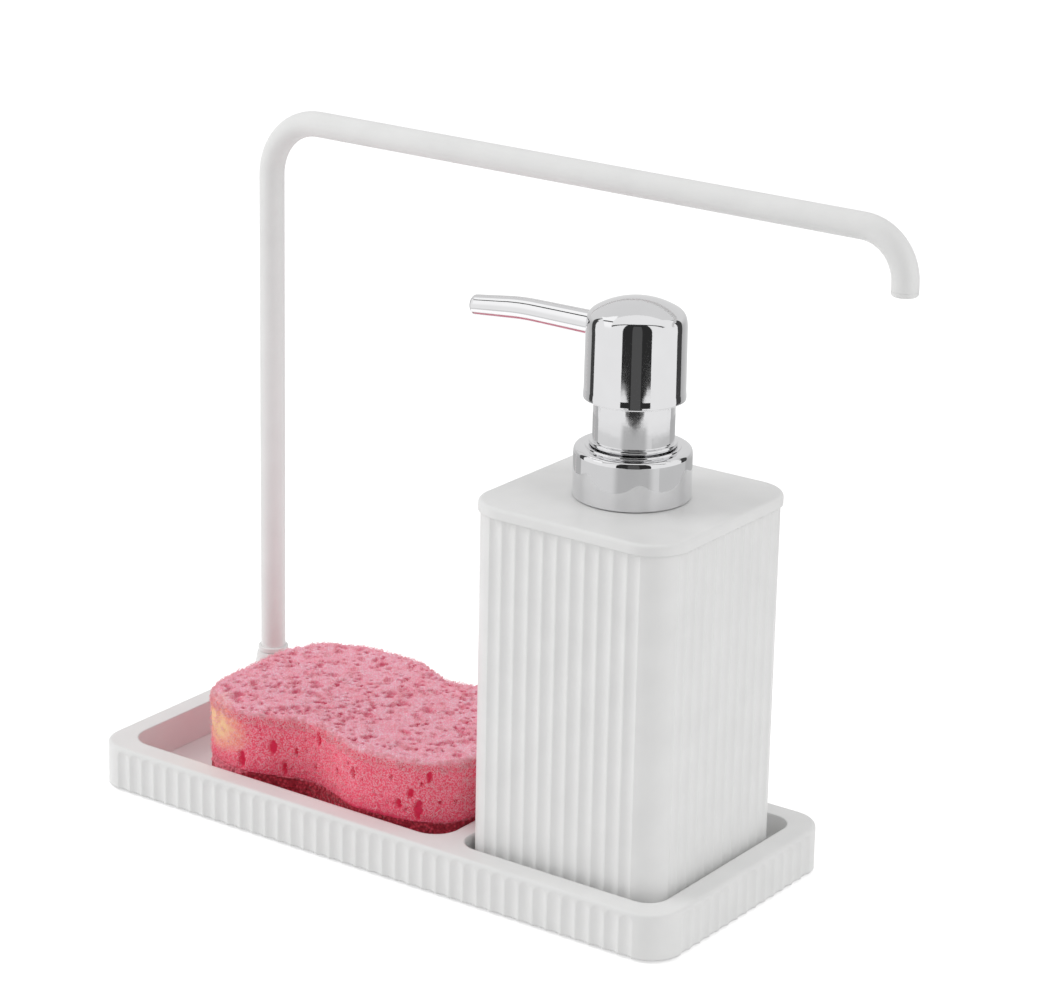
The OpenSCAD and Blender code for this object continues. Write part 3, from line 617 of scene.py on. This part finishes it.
def sponge_point(angle, inset=0.0, share=1.0):
    """A point on the sponge's outline, a squarish oval with a skew waist, or a share of the way to it."""
    c = math.cos(angle)
    s = math.sin(angle)
    reach = (abs(c) ** SPONGE_POWER + abs(s) ** SPONGE_POWER) ** (-1 / SPONGE_POWER)
    shift = -WAIST_FRONT_SHIFT if s < 0 else WAIST_BACK_SHIFT
    off = reach * c - shift / SPONGE_HALF_L
    drawn = SPONGE_WAIST * math.cos(math.pi * off) ** 2 if abs(off) < 0.5 else 0.0
    x = reach * c * (SPONGE_HALF_L - inset)
    y = reach * s * (SPONGE_HALF_W - inset - drawn)
    return SPONGE_X + share * x, SPONGE_Y + share * y


def sponge_ring(inset, height, count=240):
    return [(*sponge_point(2 * math.pi * i / count, inset), height) for i in range(count)]


def edge_rings(inset, start, edge, steps, upper):
    """Rings round a rounded edge, from its start up: the upper edge turns in, the lower one out."""
    rings = []
    for k in range(steps + 1):
        t = math.pi / 2 * k / steps
        falling = edge * (1 - math.cos(t))
        if upper:
            rings.append(sponge_ring(inset + falling, start + edge * math.sin(t)))
        else:
            rings.append(sponge_ring(inset + edge * (1 - math.sin(t)), start + falling))
    return rings


def fine_mesh(name, rings, material):
    """An even, fine skin over stacked rings, closed at both ends."""
    points, faces = skin(capped(rings))
    rough = mesh_object(name + "_rough", points, faces, material)
    remesh = rough.modifiers.new("even", "REMESH")
    remesh.mode = "VOXEL"
    remesh.voxel_size = VOXEL
    graph = bpy.context.evaluated_depsgraph_get()
    mesh = bpy.data.meshes.new_from_object(rough.evaluated_get(graph))
    bpy.data.objects.remove(rough)
    mesh.name = name
    mesh.materials.clear()
    mesh.materials.append(material)
    mesh.polygons.foreach_set("use_smooth", [True] * len(mesh.polygons))
    obj = bpy.data.objects.new(name, mesh)
    bpy.context.scene.collection.objects.link(obj)
    return obj


def vertex_arrays(mesh):
    points = np.zeros(len(mesh.vertices) * 3)
    mesh.vertices.foreach_get("co", points)
    normals = np.zeros(len(mesh.vertices) * 3)
    mesh.vertex_normals.foreach_get("vector", normals)
    return points.reshape(-1, 3), normals.reshape(-1, 3)


def move_vertices(mesh, points):
    mesh.vertices.foreach_set("co", points.ravel())
    mesh.update()


def store(mesh, name, values):
    layer = mesh.attributes.new(name, "FLOAT", "POINT")
    layer.data.foreach_set("value", values.astype(np.float32))


def noise_at(points, per_metre, offset=0.0):
    shift = Vector((offset, offset * 1.7, offset * 0.3))
    return np.array([noise.noise(Vector(p) * per_metre + shift) for p in points])


def relief(points, layers):
    """The sum of noise layers of (count per metre, offset, height in millimetres)."""
    return sum(noise_at(points, per_metre, offset) * height * MM for per_metre, offset, height in layers)


def unevenness(points):
    """The noise that makes the outlines of pits and of the seam uneven."""
    return noise_at(points, 700, 4.4) * 0.5


class Pits:
    """How far each point of the foam is pushed in, and how dark its painted shade in the dent is, from 0
    to 1.
    """

    def __init__(self, points):
        self.points = points
        self.warp = unevenness(points)
        self.push = np.zeros(len(points))
        self.hollow = np.zeros(len(points))

    def dig(self, centre, size, depth, steep, tint):
        """One dent with an uneven outline about centre, of the given half size along each axis."""
        widest = 1.2
        tint_rise = 2.6
        beside = np.abs(self.points[:, 0] - centre[0])
        near = np.flatnonzero(beside < size[0] * widest)
        offset = (self.points[near] - centre) / size
        distance = np.sum(offset ** 2, axis=1) + self.warp[near]
        inside = distance < 1
        near = near[inside]
        bowl = 1 - np.clip(distance[inside], 0, 1)
        self.push[near] = np.maximum(self.push[near], depth * bowl ** steep)
        # The dent's painted shade, rising quickly from its outline inward.
        self.hollow[near] = np.maximum(self.hollow[near], tint * np.clip(bowl * tint_rise, 0, 1))


def top_pits(rng, pits, crown, edge):
    """Dents in the foam's top: number, least and greatest radius and depth in millimetres, tint of the
    painted shade.
    """
    kinds = (
        (170, 0.9, 1.8, 1.1, 0.62),
        (480, 0.45, 0.95, 0.85, 0.9),
        (260, 0.28, 0.5, 1.1, 1.0),
    )
    most_of_area = 0.97
    half_h = 2.5 * MM
    steep = 0.9
    for number, low_r, high_r, deep, tint in kinds:
        for _ in range(number):
            share = math.sqrt(rng.uniform(0, most_of_area))
            x, y = sponge_point(rng.uniform(0, 2 * math.pi), edge, share)
            radius = rng.uniform(low_r, high_r) * MM
            half_x = radius * rng.uniform(0.75, 1.35)
            half_y = radius * rng.uniform(0.75, 1.2)
            depth = deep * rng.uniform(0.6, 1.2) * MM
            shade = tint * rng.uniform(0.4, 1.0)
            pits.dig(np.array([x, y, crown]), np.array([half_x, half_y, half_h]), depth, steep, shade)


def seen_pores(pits):
    """The large pores seen at the front: turn in degrees, then height and half sizes in millimetres."""
    seen = (
        (241, 17.9, 1.0, 2.3), (251, 23.0, 1.0, 2.0), (254.5, 16.6, 0.7, 1.7),
        (258.5, 22.4, 0.45, 1.4), (268, 28.4, 0.7, 1.9), (266, 19.0, 0.4, 1.2),
        (278.5, 21.5, 0.7, 1.5), (285.5, 26.8, 0.4, 0.8), (288, 24.6, 0.7, 2.0),
        (302, 26.8, 0.4, 0.9), (304.5, 19.0, 0.9, 1.4), (306.5, 17.6, 0.4, 0.6),
        (308, 22.9, 0.85, 1.5), (310.5, 18.0, 1.1, 2.8), (311.5, 26.0, 0.45, 0.6),
        (314, 28.2, 0.75, 1.6), (318, 20.4, 0.5, 0.6), (324, 20.4, 0.5, 0.6),
    )
    depth = 1.5 * MM
    steep = 0.45
    for turn, height, half_w, half_h in seen:
        x, y = sponge_point(math.radians(turn))
        size = np.array([half_w * 1.3, half_w * 1.3, half_h * 1.15]) * MM
        # Each seen pore gets the full painted shade.
        pits.dig(np.array([x, y, height * MM]), size, depth, steep, 1.0)


def random_pores(rng, pits, low, high, number, half_w_span, deep, skip_front):
    """Upright pores in the foam's sides, without those that would fall among the seen ones."""
    steep = 0.45
    for _ in range(number):
        turn = rng.uniform(0, 360)
        at_front = 230 < turn < 330
        if skip_front and at_front:
            continue
        x, y = sponge_point(math.radians(turn))
        half_w = rng.uniform(*half_w_span) * MM
        size = np.array([half_w * 1.2, half_w * 1.2, half_w * rng.uniform(1.3, 2.6)])
        centre = np.array([x, y, rng.uniform(low, high)])
        depth = deep * rng.uniform(0.7, 1.1) * MM
        pits.dig(centre, size, depth, steep, rng.uniform(0.5, 1.0))


def foam_foot(points, warp):
    """The uneven height at which the foam gives way to the scrub layer, lower at the free end."""
    hang_start = 26 * MM
    hang_l = 10 * MM
    hang = 4.2
    wave = 0.7
    wave_l = 9 * MM
    x = points[:, 0]
    hung = np.clip((foam_low.x + hang_start - x) / hang_l, 0, 1)
    waved = wave * np.sin((x - foam_low.x) / wave_l)
    return foam_low.z + (0.1 + waved + warp * 0.7 - hang * hung) * MM


def paint_foam(mesh, points, normals, pits):
    """Stores the painted shade in pits and towards the foot, how far the foam faces up for its painted
    paler top, the painted highlight at its rim, and where it is stained.
    """
    # Painted shade towards the foam's foot: darkest just at the seam with the scrub layer, then a lighter
    # shade that fades out 6 mm above it.
    foot_shade_h = 6
    foot_shade_tint = 0.42
    seam_shade_tint = 0.9
    seam_fade = 3
    above = (points[:, 2] - foam_foot(points, pits.warp)) / MM
    seam_shade = np.clip(seam_shade_tint - above * seam_fade, 0, seam_shade_tint)
    foot_shade = np.maximum(seam_shade, foot_shade_tint * np.clip(1 - above / foot_shade_h, 0, 1))
    # The stored painted shade is that of the pits or of the foot, whichever is darker.
    store(mesh, "hollow", np.maximum(pits.hollow, foot_shade))
    # How far each point faces up, for the top that is painted paler than the sides.
    up = normals[:, 2]
    upper_start = 0.15
    upper_span = 0.6
    store(mesh, "upper", np.clip((up - upper_start) / upper_span, 0, 1))
    # The painted highlight along the upper rim, strongest where the surface turns from side to top.
    rim_up = 0.6
    rim_span = 0.25
    rim_share = 0.4
    store(mesh, "rim", rim_share * np.exp(-((up - rim_up) / rim_span) ** 2))
    stain_turn = 228
    stain_h = 25.5 * MM
    stain_size = np.array([11, 9, 6]) * MM
    stain_reach = 1.45
    stain_share = 0.8
    stain_at = np.array([*sponge_point(math.radians(stain_turn)), stain_h])
    away = np.linalg.norm((points - stain_at) / stain_size, axis=1)
    store(mesh, "stain", np.clip(stain_reach - away + pits.warp * 0.5, 0, 1) * stain_share)


def foam():
    """The foam: a flat pitted top, a soft rim and sides with sparse upright pores."""
    rng = np.random.default_rng(SEED)
    top_edge = 1.8 * MM
    fringe_h = 0.9 * MM
    grain = 0.3 * MM
    bulge = 0.3 * MM
    crown = foam_high.z - grain
    side_top = foam_high.z - fringe_h - top_edge
    rings = edge_rings(grain, foam_low.z - SEAM_OVERLAP, FOOT_EDGE, 5, upper=False)
    rings += edge_rings(grain, side_top, top_edge, 8, upper=True)
    rings.append(sponge_ring(SPONGE_HALF_W / 2, crown - bulge))
    obj = fine_mesh("foam_block", rings, MATERIALS["foam"])
    points, normals = vertex_arrays(obj.data)
    pits = Pits(points)
    pores_low = foam_low.z + 1.5 * MM
    top_pits(rng, pits, crown, top_edge)
    seen_pores(pits)
    random_pores(rng, pits, pores_low, side_top, 46, (0.45, 1.0), 1.3, skip_front=True)
    random_pores(rng, pits, pores_low, side_top, 420, (0.18, 0.38), 0.5, skip_front=False)
    lumps = (130, 0.0, 0.45)
    bubbles = (800, 3.1, 0.22)
    cut_cells = (1500, 9.4, 0.12)
    raised = relief(points, (lumps, bubbles, cut_cells))
    moved = points + normals * (raised - pits.push)[:, None]
    moved[:, 2] = np.maximum(moved[:, 2], foam_low.z + 0.05 * MM)
    move_vertices(obj.data, moved)
    paint_foam(obj.data, points, normals, pits)
    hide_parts("sponge_foam")
    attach(obj, "sponge")
    strands(rng, obj.data, pits.hollow)


def strand_roots(rng, points, normals, hollow):
    """Points for half of the strands all over the foam, and for the rest near its upper rim."""
    up = normals[:, 2]
    height = points[:, 2]
    clear = (up > -0.3) & (height > foam_low.z + 1.5 * MM) & (hollow < 0.25)
    on_rim = clear & (up < 0.9) & (height > foam_high.z - 4.5 * MM)
    few = STRANDS // 2
    anywhere = rng.choice(np.flatnonzero(clear), few)
    at_rim = rng.choice(np.flatnonzero(on_rim), STRANDS - few)
    return np.concatenate([anywhere, at_rim])


def strands(rng, mesh, hollow):
    """Tiny arches of cut foam all over its outside, which make its outline fuzzy."""
    sides = 3
    steps = 5
    sunk = 0.1 * MM
    points, normals = vertex_arrays(mesh)
    roots = strand_roots(rng, points, normals, hollow)
    root = points[roots]
    out = normals[roots]
    lie = np.cross(out, rng.normal(size=(STRANDS, 3)))
    lie /= np.linalg.norm(lie, axis=1)[:, None]
    half_w = rng.uniform(0.3, 0.75, STRANDS) * MM
    height = rng.uniform(0.25, 1.0, STRANDS) * MM
    thick = rng.uniform(0.04, 0.075, STRANDS) * MM
    across = np.cross(out, lie)
    ring_points = np.zeros((STRANDS, steps, sides, 3))
    for k, t in enumerate(np.linspace(-1, 1, steps)):
        centre = root + lie * (half_w * t)[:, None] + out * (height * (1 - t * t) - sunk)[:, None]
        along = lie * half_w[:, None] - out * (2 * t * height)[:, None]
        along /= np.linalg.norm(along, axis=1)[:, None]
        up = np.cross(along, across)
        for m, a in enumerate(full_turn(sides)):
            ring_points[:, k, m] = centre + (across * math.cos(a) + up * math.sin(a)) * thick[:, None]
    first = np.arange(STRANDS)[:, None, None] * steps * sides
    low = first + np.arange(steps - 1)[None, :, None] * sides
    m = np.arange(sides)[None, None, :]
    after = (m + 1) % sides
    quads = np.stack([low + m, low + after, low + sides + after, low + sides + m], axis=-1)
    near_ends = first[:, :, 0] + np.arange(sides)[::-1]
    far_ends = first[:, :, 0] + (steps - 1) * sides + np.arange(sides)
    faces = quads.reshape(-1, 4).tolist() + near_ends.tolist() + far_ends.tolist()
    obj = mesh_object("foam_strands", ring_points.reshape(-1, 3), faces, MATERIALS["strands"], False)
    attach(obj, "sponge")


def scrub():
    """The scrub layer: coarse all over, and cut flat below and where it meets the foam."""
    grain = 0.35 * MM
    foot = scrub_low.z + 0.2 * MM
    flat = 0.02 * MM
    foamy_h = 0.3 * MM
    rings = edge_rings(grain, foot, FOOT_EDGE, 5, upper=False)
    rings += edge_rings(grain, scrub_high.z + SEAM_OVERLAP - FOOT_EDGE, FOOT_EDGE, 5, upper=True)
    obj = fine_mesh("scrub_layer", rings, MATERIALS["scrub"])
    points, normals = vertex_arrays(obj.data)
    tufts = (420, 5.0, 0.4)
    fibres = (1400, 1.0, 0.35)
    raised = relief(points, (tufts, fibres))
    points = points + normals * raised[:, None]
    points[:, 2] = np.clip(points[:, 2], scrub_low.z + flat, scrub_high.z - flat)
    move_vertices(obj.data, points)
    above = points[:, 2] - foam_foot(points, unevenness(points))
    store(obj.data, "foamy", np.clip(above / foamy_h, 0, 1))
    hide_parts("sponge_scrub_layer")
    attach(obj, "sponge")


# Stage

def toward(azimuth, elevation):
    """The direction of something seen at an azimuth from the front and an elevation, in degrees."""
    a = math.radians(azimuth)
    e = math.radians(elevation)
    return Vector((math.sin(a) * math.cos(e), -math.cos(a) * math.cos(e), math.sin(e)))


def white_to_camera(tree):
    """1 for the rays that show the surroundings themselves: camera, glossy and transmission."""
    path = add_node(tree, "ShaderNodeLightPath")
    first = add_node(tree, "ShaderNodeMath", operation="MAXIMUM")
    second = add_node(tree, "ShaderNodeMath", operation="MAXIMUM")
    tree.links.new(path.outputs["Is Camera Ray"], first.inputs[0])
    tree.links.new(path.outputs["Is Glossy Ray"], first.inputs[1])
    tree.links.new(first.outputs[0], second.inputs[0])
    tree.links.new(path.outputs["Is Transmission Ray"], second.inputs[1])
    return second.outputs[0]


def bare_material(name):
    """A material without its standard shader."""
    material = bpy.data.materials.new(name)
    material.use_nodes = True
    material.node_tree.nodes.clear()
    return material, material.node_tree


def show_surface(tree, shader):
    out = add_node(tree, "ShaderNodeOutputMaterial")
    tree.links.new(shader.outputs[0], out.inputs["Surface"])


def make_floor():
    material, tree = bare_material("pale_floor")
    matt = add_node(tree, "ShaderNodeBsdfDiffuse", {"Color": (FLOOR_TONE, FLOOR_TONE, FLOOR_TONE, 1)})
    lift = add_node(tree, "ShaderNodeEmission", {"Color": (1, 1, 1, 1)})
    level = add_node(tree, "ShaderNodeMath", operation="MULTIPLY")
    level.inputs[1].default_value = FLOOR_LIFT
    tree.links.new(white_to_camera(tree), level.inputs[0])
    tree.links.new(level.outputs[0], lift.inputs["Strength"])
    both = add_node(tree, "ShaderNodeAddShader")
    tree.links.new(matt.outputs[0], both.inputs[0])
    tree.links.new(lift.outputs[0], both.inputs[1])
    show_surface(tree, both)
    half = 4.0
    drop = -0.1 * MM
    corners = [(-half, -half, drop), (half, -half, drop), (half, half, drop), (-half, half, drop)]
    floor = mesh_object("floor", corners, [(0, 1, 2, 3)], material, smooth=False)


def make_world():
    world = bpy.data.worlds.new("studio")
    bpy.context.scene.world = world
    world.use_nodes = True
    tree = world.node_tree
    background = tree.nodes["Background"]
    background.inputs["Color"].default_value = (1, 1, 1, 1)
    level = add_node(tree, "ShaderNodeMapRange", {"To Min": AMBIENT, "To Max": 1.0})
    tree.links.new(white_to_camera(tree), level.inputs["Value"])
    tree.links.new(level.outputs["Result"], background.inputs["Strength"])


def soft_lamp(name, azimuth, elevation, distance, size, watts):
    aim = Vector((0, 0, 0.08))
    direction = toward(azimuth, elevation)
    lamp = bpy.data.lights.new(name, "AREA")
    lamp.shape = "SQUARE"
    lamp.size = size
    lamp.energy = watts
    obj = bpy.data.objects.new(name, lamp)
    bpy.context.scene.collection.objects.link(obj)
    obj.location = aim + direction * distance
    obj.rotation_euler = direction.to_track_quat("Z", "Y").to_euler()
    obj.visible_glossy = False


# What the chrome reflects: tones from 0, black, to 1, and turns in degrees from the camera's side
PANEL = 0.97
STRIP = 0.06
CAMERA_DARK = 0.03
CAMERA_GREY = 0.09
CAMERA_GREY_HALF = 11
CAMERA_DARK_HALF = 33
STRIP_END = 121


def strip_start(turn):
    """Where the narrow dark strip beside the pump begins, on the right or on the left."""
    return 102 if turn > 0 else 107


def behind_tone(side):
    """The grey behind the pump, which grows lighter away from the strips."""
    return 0.5 + 0.33 * (side - STRIP_END) / (180 - STRIP_END)


def eased(value, low, high):
    """0 below low, 1 above high and a soft step between them."""
    t = min(1.0, max(0.0, (value - low) / (high - low)))
    return t * t * (3 - 2 * t)


def near_floor_tone(turn, distance):
    """The floor that the collar sees, and past it the floor that the sleeve sees."""
    middle = 0.52
    collar_end = 430
    side = abs(turn)
    edge_tone = 0.93 if distance > collar_end else 0.76
    if turn > 50 and distance < collar_end:
        edge_tone = 0.62
    if side > 118:
        edge_tone = 0.5
    return middle + (edge_tone - middle) * eased(side, 26, 42)


def floor_tone(turn, distance):
    """The floor's tone at a turn and a distance in millimetres."""
    sleeve_end = 445
    skirt_end = 468
    taper_start = 508
    taper_l = 40
    strip_from = 465
    side = abs(turn)
    if distance < sleeve_end:
        return near_floor_tone(turn, distance)
    dark_half = 26 * math.sqrt(min(1.0, (distance - sleeve_end) / 16))
    if distance > skirt_end:
        dark_half = 15 + 18 * min(1.0, max(0.0, distance - taper_start) / taper_l)
    if side < dark_half:
        return CAMERA_GREY if side < CAMERA_GREY_HALF and distance > skirt_end else CAMERA_DARK
    if side > STRIP_END:
        return behind_tone(side)
    return STRIP if side > strip_start(turn) and distance > strip_from else PANEL


def over_spout_tone(round_spout):
    """The panel that the spout sees, brighter overhead but for a dark line, by degrees round it."""
    line_tone = 0.05
    extra = 0.18
    if 66 < round_spout < 75:
        return line_tone
    return PANEL + extra * eased(round_spout, 10, 40)


def wall_tone(turn, rise):
    """The tone round and above, by turn and by height above the horizon in degrees."""
    overhead_line = 0.04
    high_tone = 0.78
    high_rise = 20
    side = abs(turn)
    level = math.cos(math.radians(rise))
    forward = math.cos(math.radians(turn)) * level
    heading = math.radians(VIEW_AZIMUTH + turn)
    sideways = math.sin(heading) * level
    round_spout = math.degrees(math.atan2(math.sin(math.radians(rise)), math.cos(heading) * level))
    if -0.68 < sideways < -0.42 and round_spout < 100:
        return over_spout_tone(round_spout)
    overhead = rise > 30
    if overhead and -0.33 < forward < 0.31:
        return PANEL
    if overhead and 0.31 <= forward < 0.4:
        return overhead_line
    if side < CAMERA_DARK_HALF:
        return CAMERA_GREY if side < CAMERA_GREY_HALF and rise < 55 else CAMERA_DARK
    if side < strip_start(turn):
        return PANEL
    if side < STRIP_END:
        return STRIP
    low = behind_tone(side)
    return low + (high_tone - low) * min(1.0, rise / high_rise)


def make_tent():
    """Shaded panels round the pump that only glossy rays see, as a studio's tent gives chrome."""
    material, tree = bare_material("tent")
    tone = add_node(tree, "ShaderNodeAttribute", attribute_name="tone")
    glow = add_node(tree, "ShaderNodeEmission", {"Strength": 1.0})
    tree.links.new(tone.outputs["Color"], glow.inputs["Color"])
    show_surface(tree, glow)
    material.cycles.emission_sampling = "NONE"
    steps = 360
    far = 1500.0
    near_levels = np.linspace(290, 440, 31)
    skirt_levels = np.linspace(442, 530, 45)
    far_levels = np.linspace(550, far, 20)
    floor_levels = [*near_levels, *skirt_levels, *far_levels]
    wall_levels = range(1, 91)
    last_rise = 89.9
    profile = [(distance, 1.0) for distance in floor_levels]
    for rise in np.radians([min(level, last_rise) for level in wall_levels]):
        profile.append((far * math.cos(rise), far * math.sin(rise)))
    headings = [math.radians(VIEW_AZIMUTH + i * 360 / steps) for i in range(steps)]
    rings = []
    for out_by, up in profile:
        rings.append([
            (PUMP_X + math.sin(a) * out_by * MM, PUMP_Y - math.cos(a) * out_by * MM, up * MM)
            for a in headings])
    points, faces = skin(rings)
    turns = [(i + 0.5) * 360 / steps for i in range(steps)]
    turns = [turn - 360 if turn > 180 else turn for turn in turns]
    tones = [floor_tone(turn, distance) for distance in floor_levels[1:] for turn in turns]
    tones += [wall_tone(turn, rise) for rise in wall_levels for turn in turns]
    tent = mesh_object("studio_tent", points, faces, material, smooth=False)
    layer = tent.data.attributes.new("tone", "FLOAT_COLOR", "FACE")
    layer.data.foreach_set("color", [c for t in tones for c in (t, t, t, 1.0)])
    tent.visible_camera = False
    tent.visible_diffuse = False
    tent.visible_shadow = False
    tent.visible_transmission = False
    tent.visible_volume_scatter = False


def make_camera():
    roll = math.radians(VIEW_ROLL)
    back = toward(VIEW_AZIMUTH, VIEW_ELEVATION)
    right = (-back).cross(Vector((0, 0, 1))).normalized()
    up = right.cross(-back)
    turned_right = right * math.cos(roll) + up * math.sin(roll)
    turned_up = up * math.cos(roll) - right * math.sin(roll)
    place = Vector(VIEW_TARGET) * MM + back * VIEW_DISTANCE * MM
    data = bpy.data.cameras.new("camera")
    data.sensor_width = SENSOR_W
    data.lens = FOCAL_PX / PHOTO_W * SENSOR_W
    data.shift_x = (PHOTO_W / 2 - CENTRE_PX[0]) / PHOTO_W
    data.shift_y = (CENTRE_PX[1] - PHOTO_H / 2) / PHOTO_W
    data.clip_start = 0.01
    data.clip_end = 50
    camera = bpy.data.objects.new("camera", data)
    bpy.context.scene.collection.objects.link(camera)
    axes = Matrix((turned_right, turned_up, back)).transposed().to_4x4()
    camera.matrix_world = Matrix.Translation(place) @ axes
    bpy.context.scene.camera = camera


dress_cad_nodes()
chrome_collar()
chrome_sleeve()
chrome_head()
chrome_spout()
coil_spring()
foam()
scrub()
make_floor()
make_world()
soft_lamp("key", -62, 30, 1.6, 0.9, KEY_WATTS)
soft_lamp("fill", 100, 35, 1.7, 1.0, FILL_WATTS)
make_tent()
make_camera()
bpy.context.scene.view_settings.view_transform = "Standard"

bpy.context.view_layer.update()
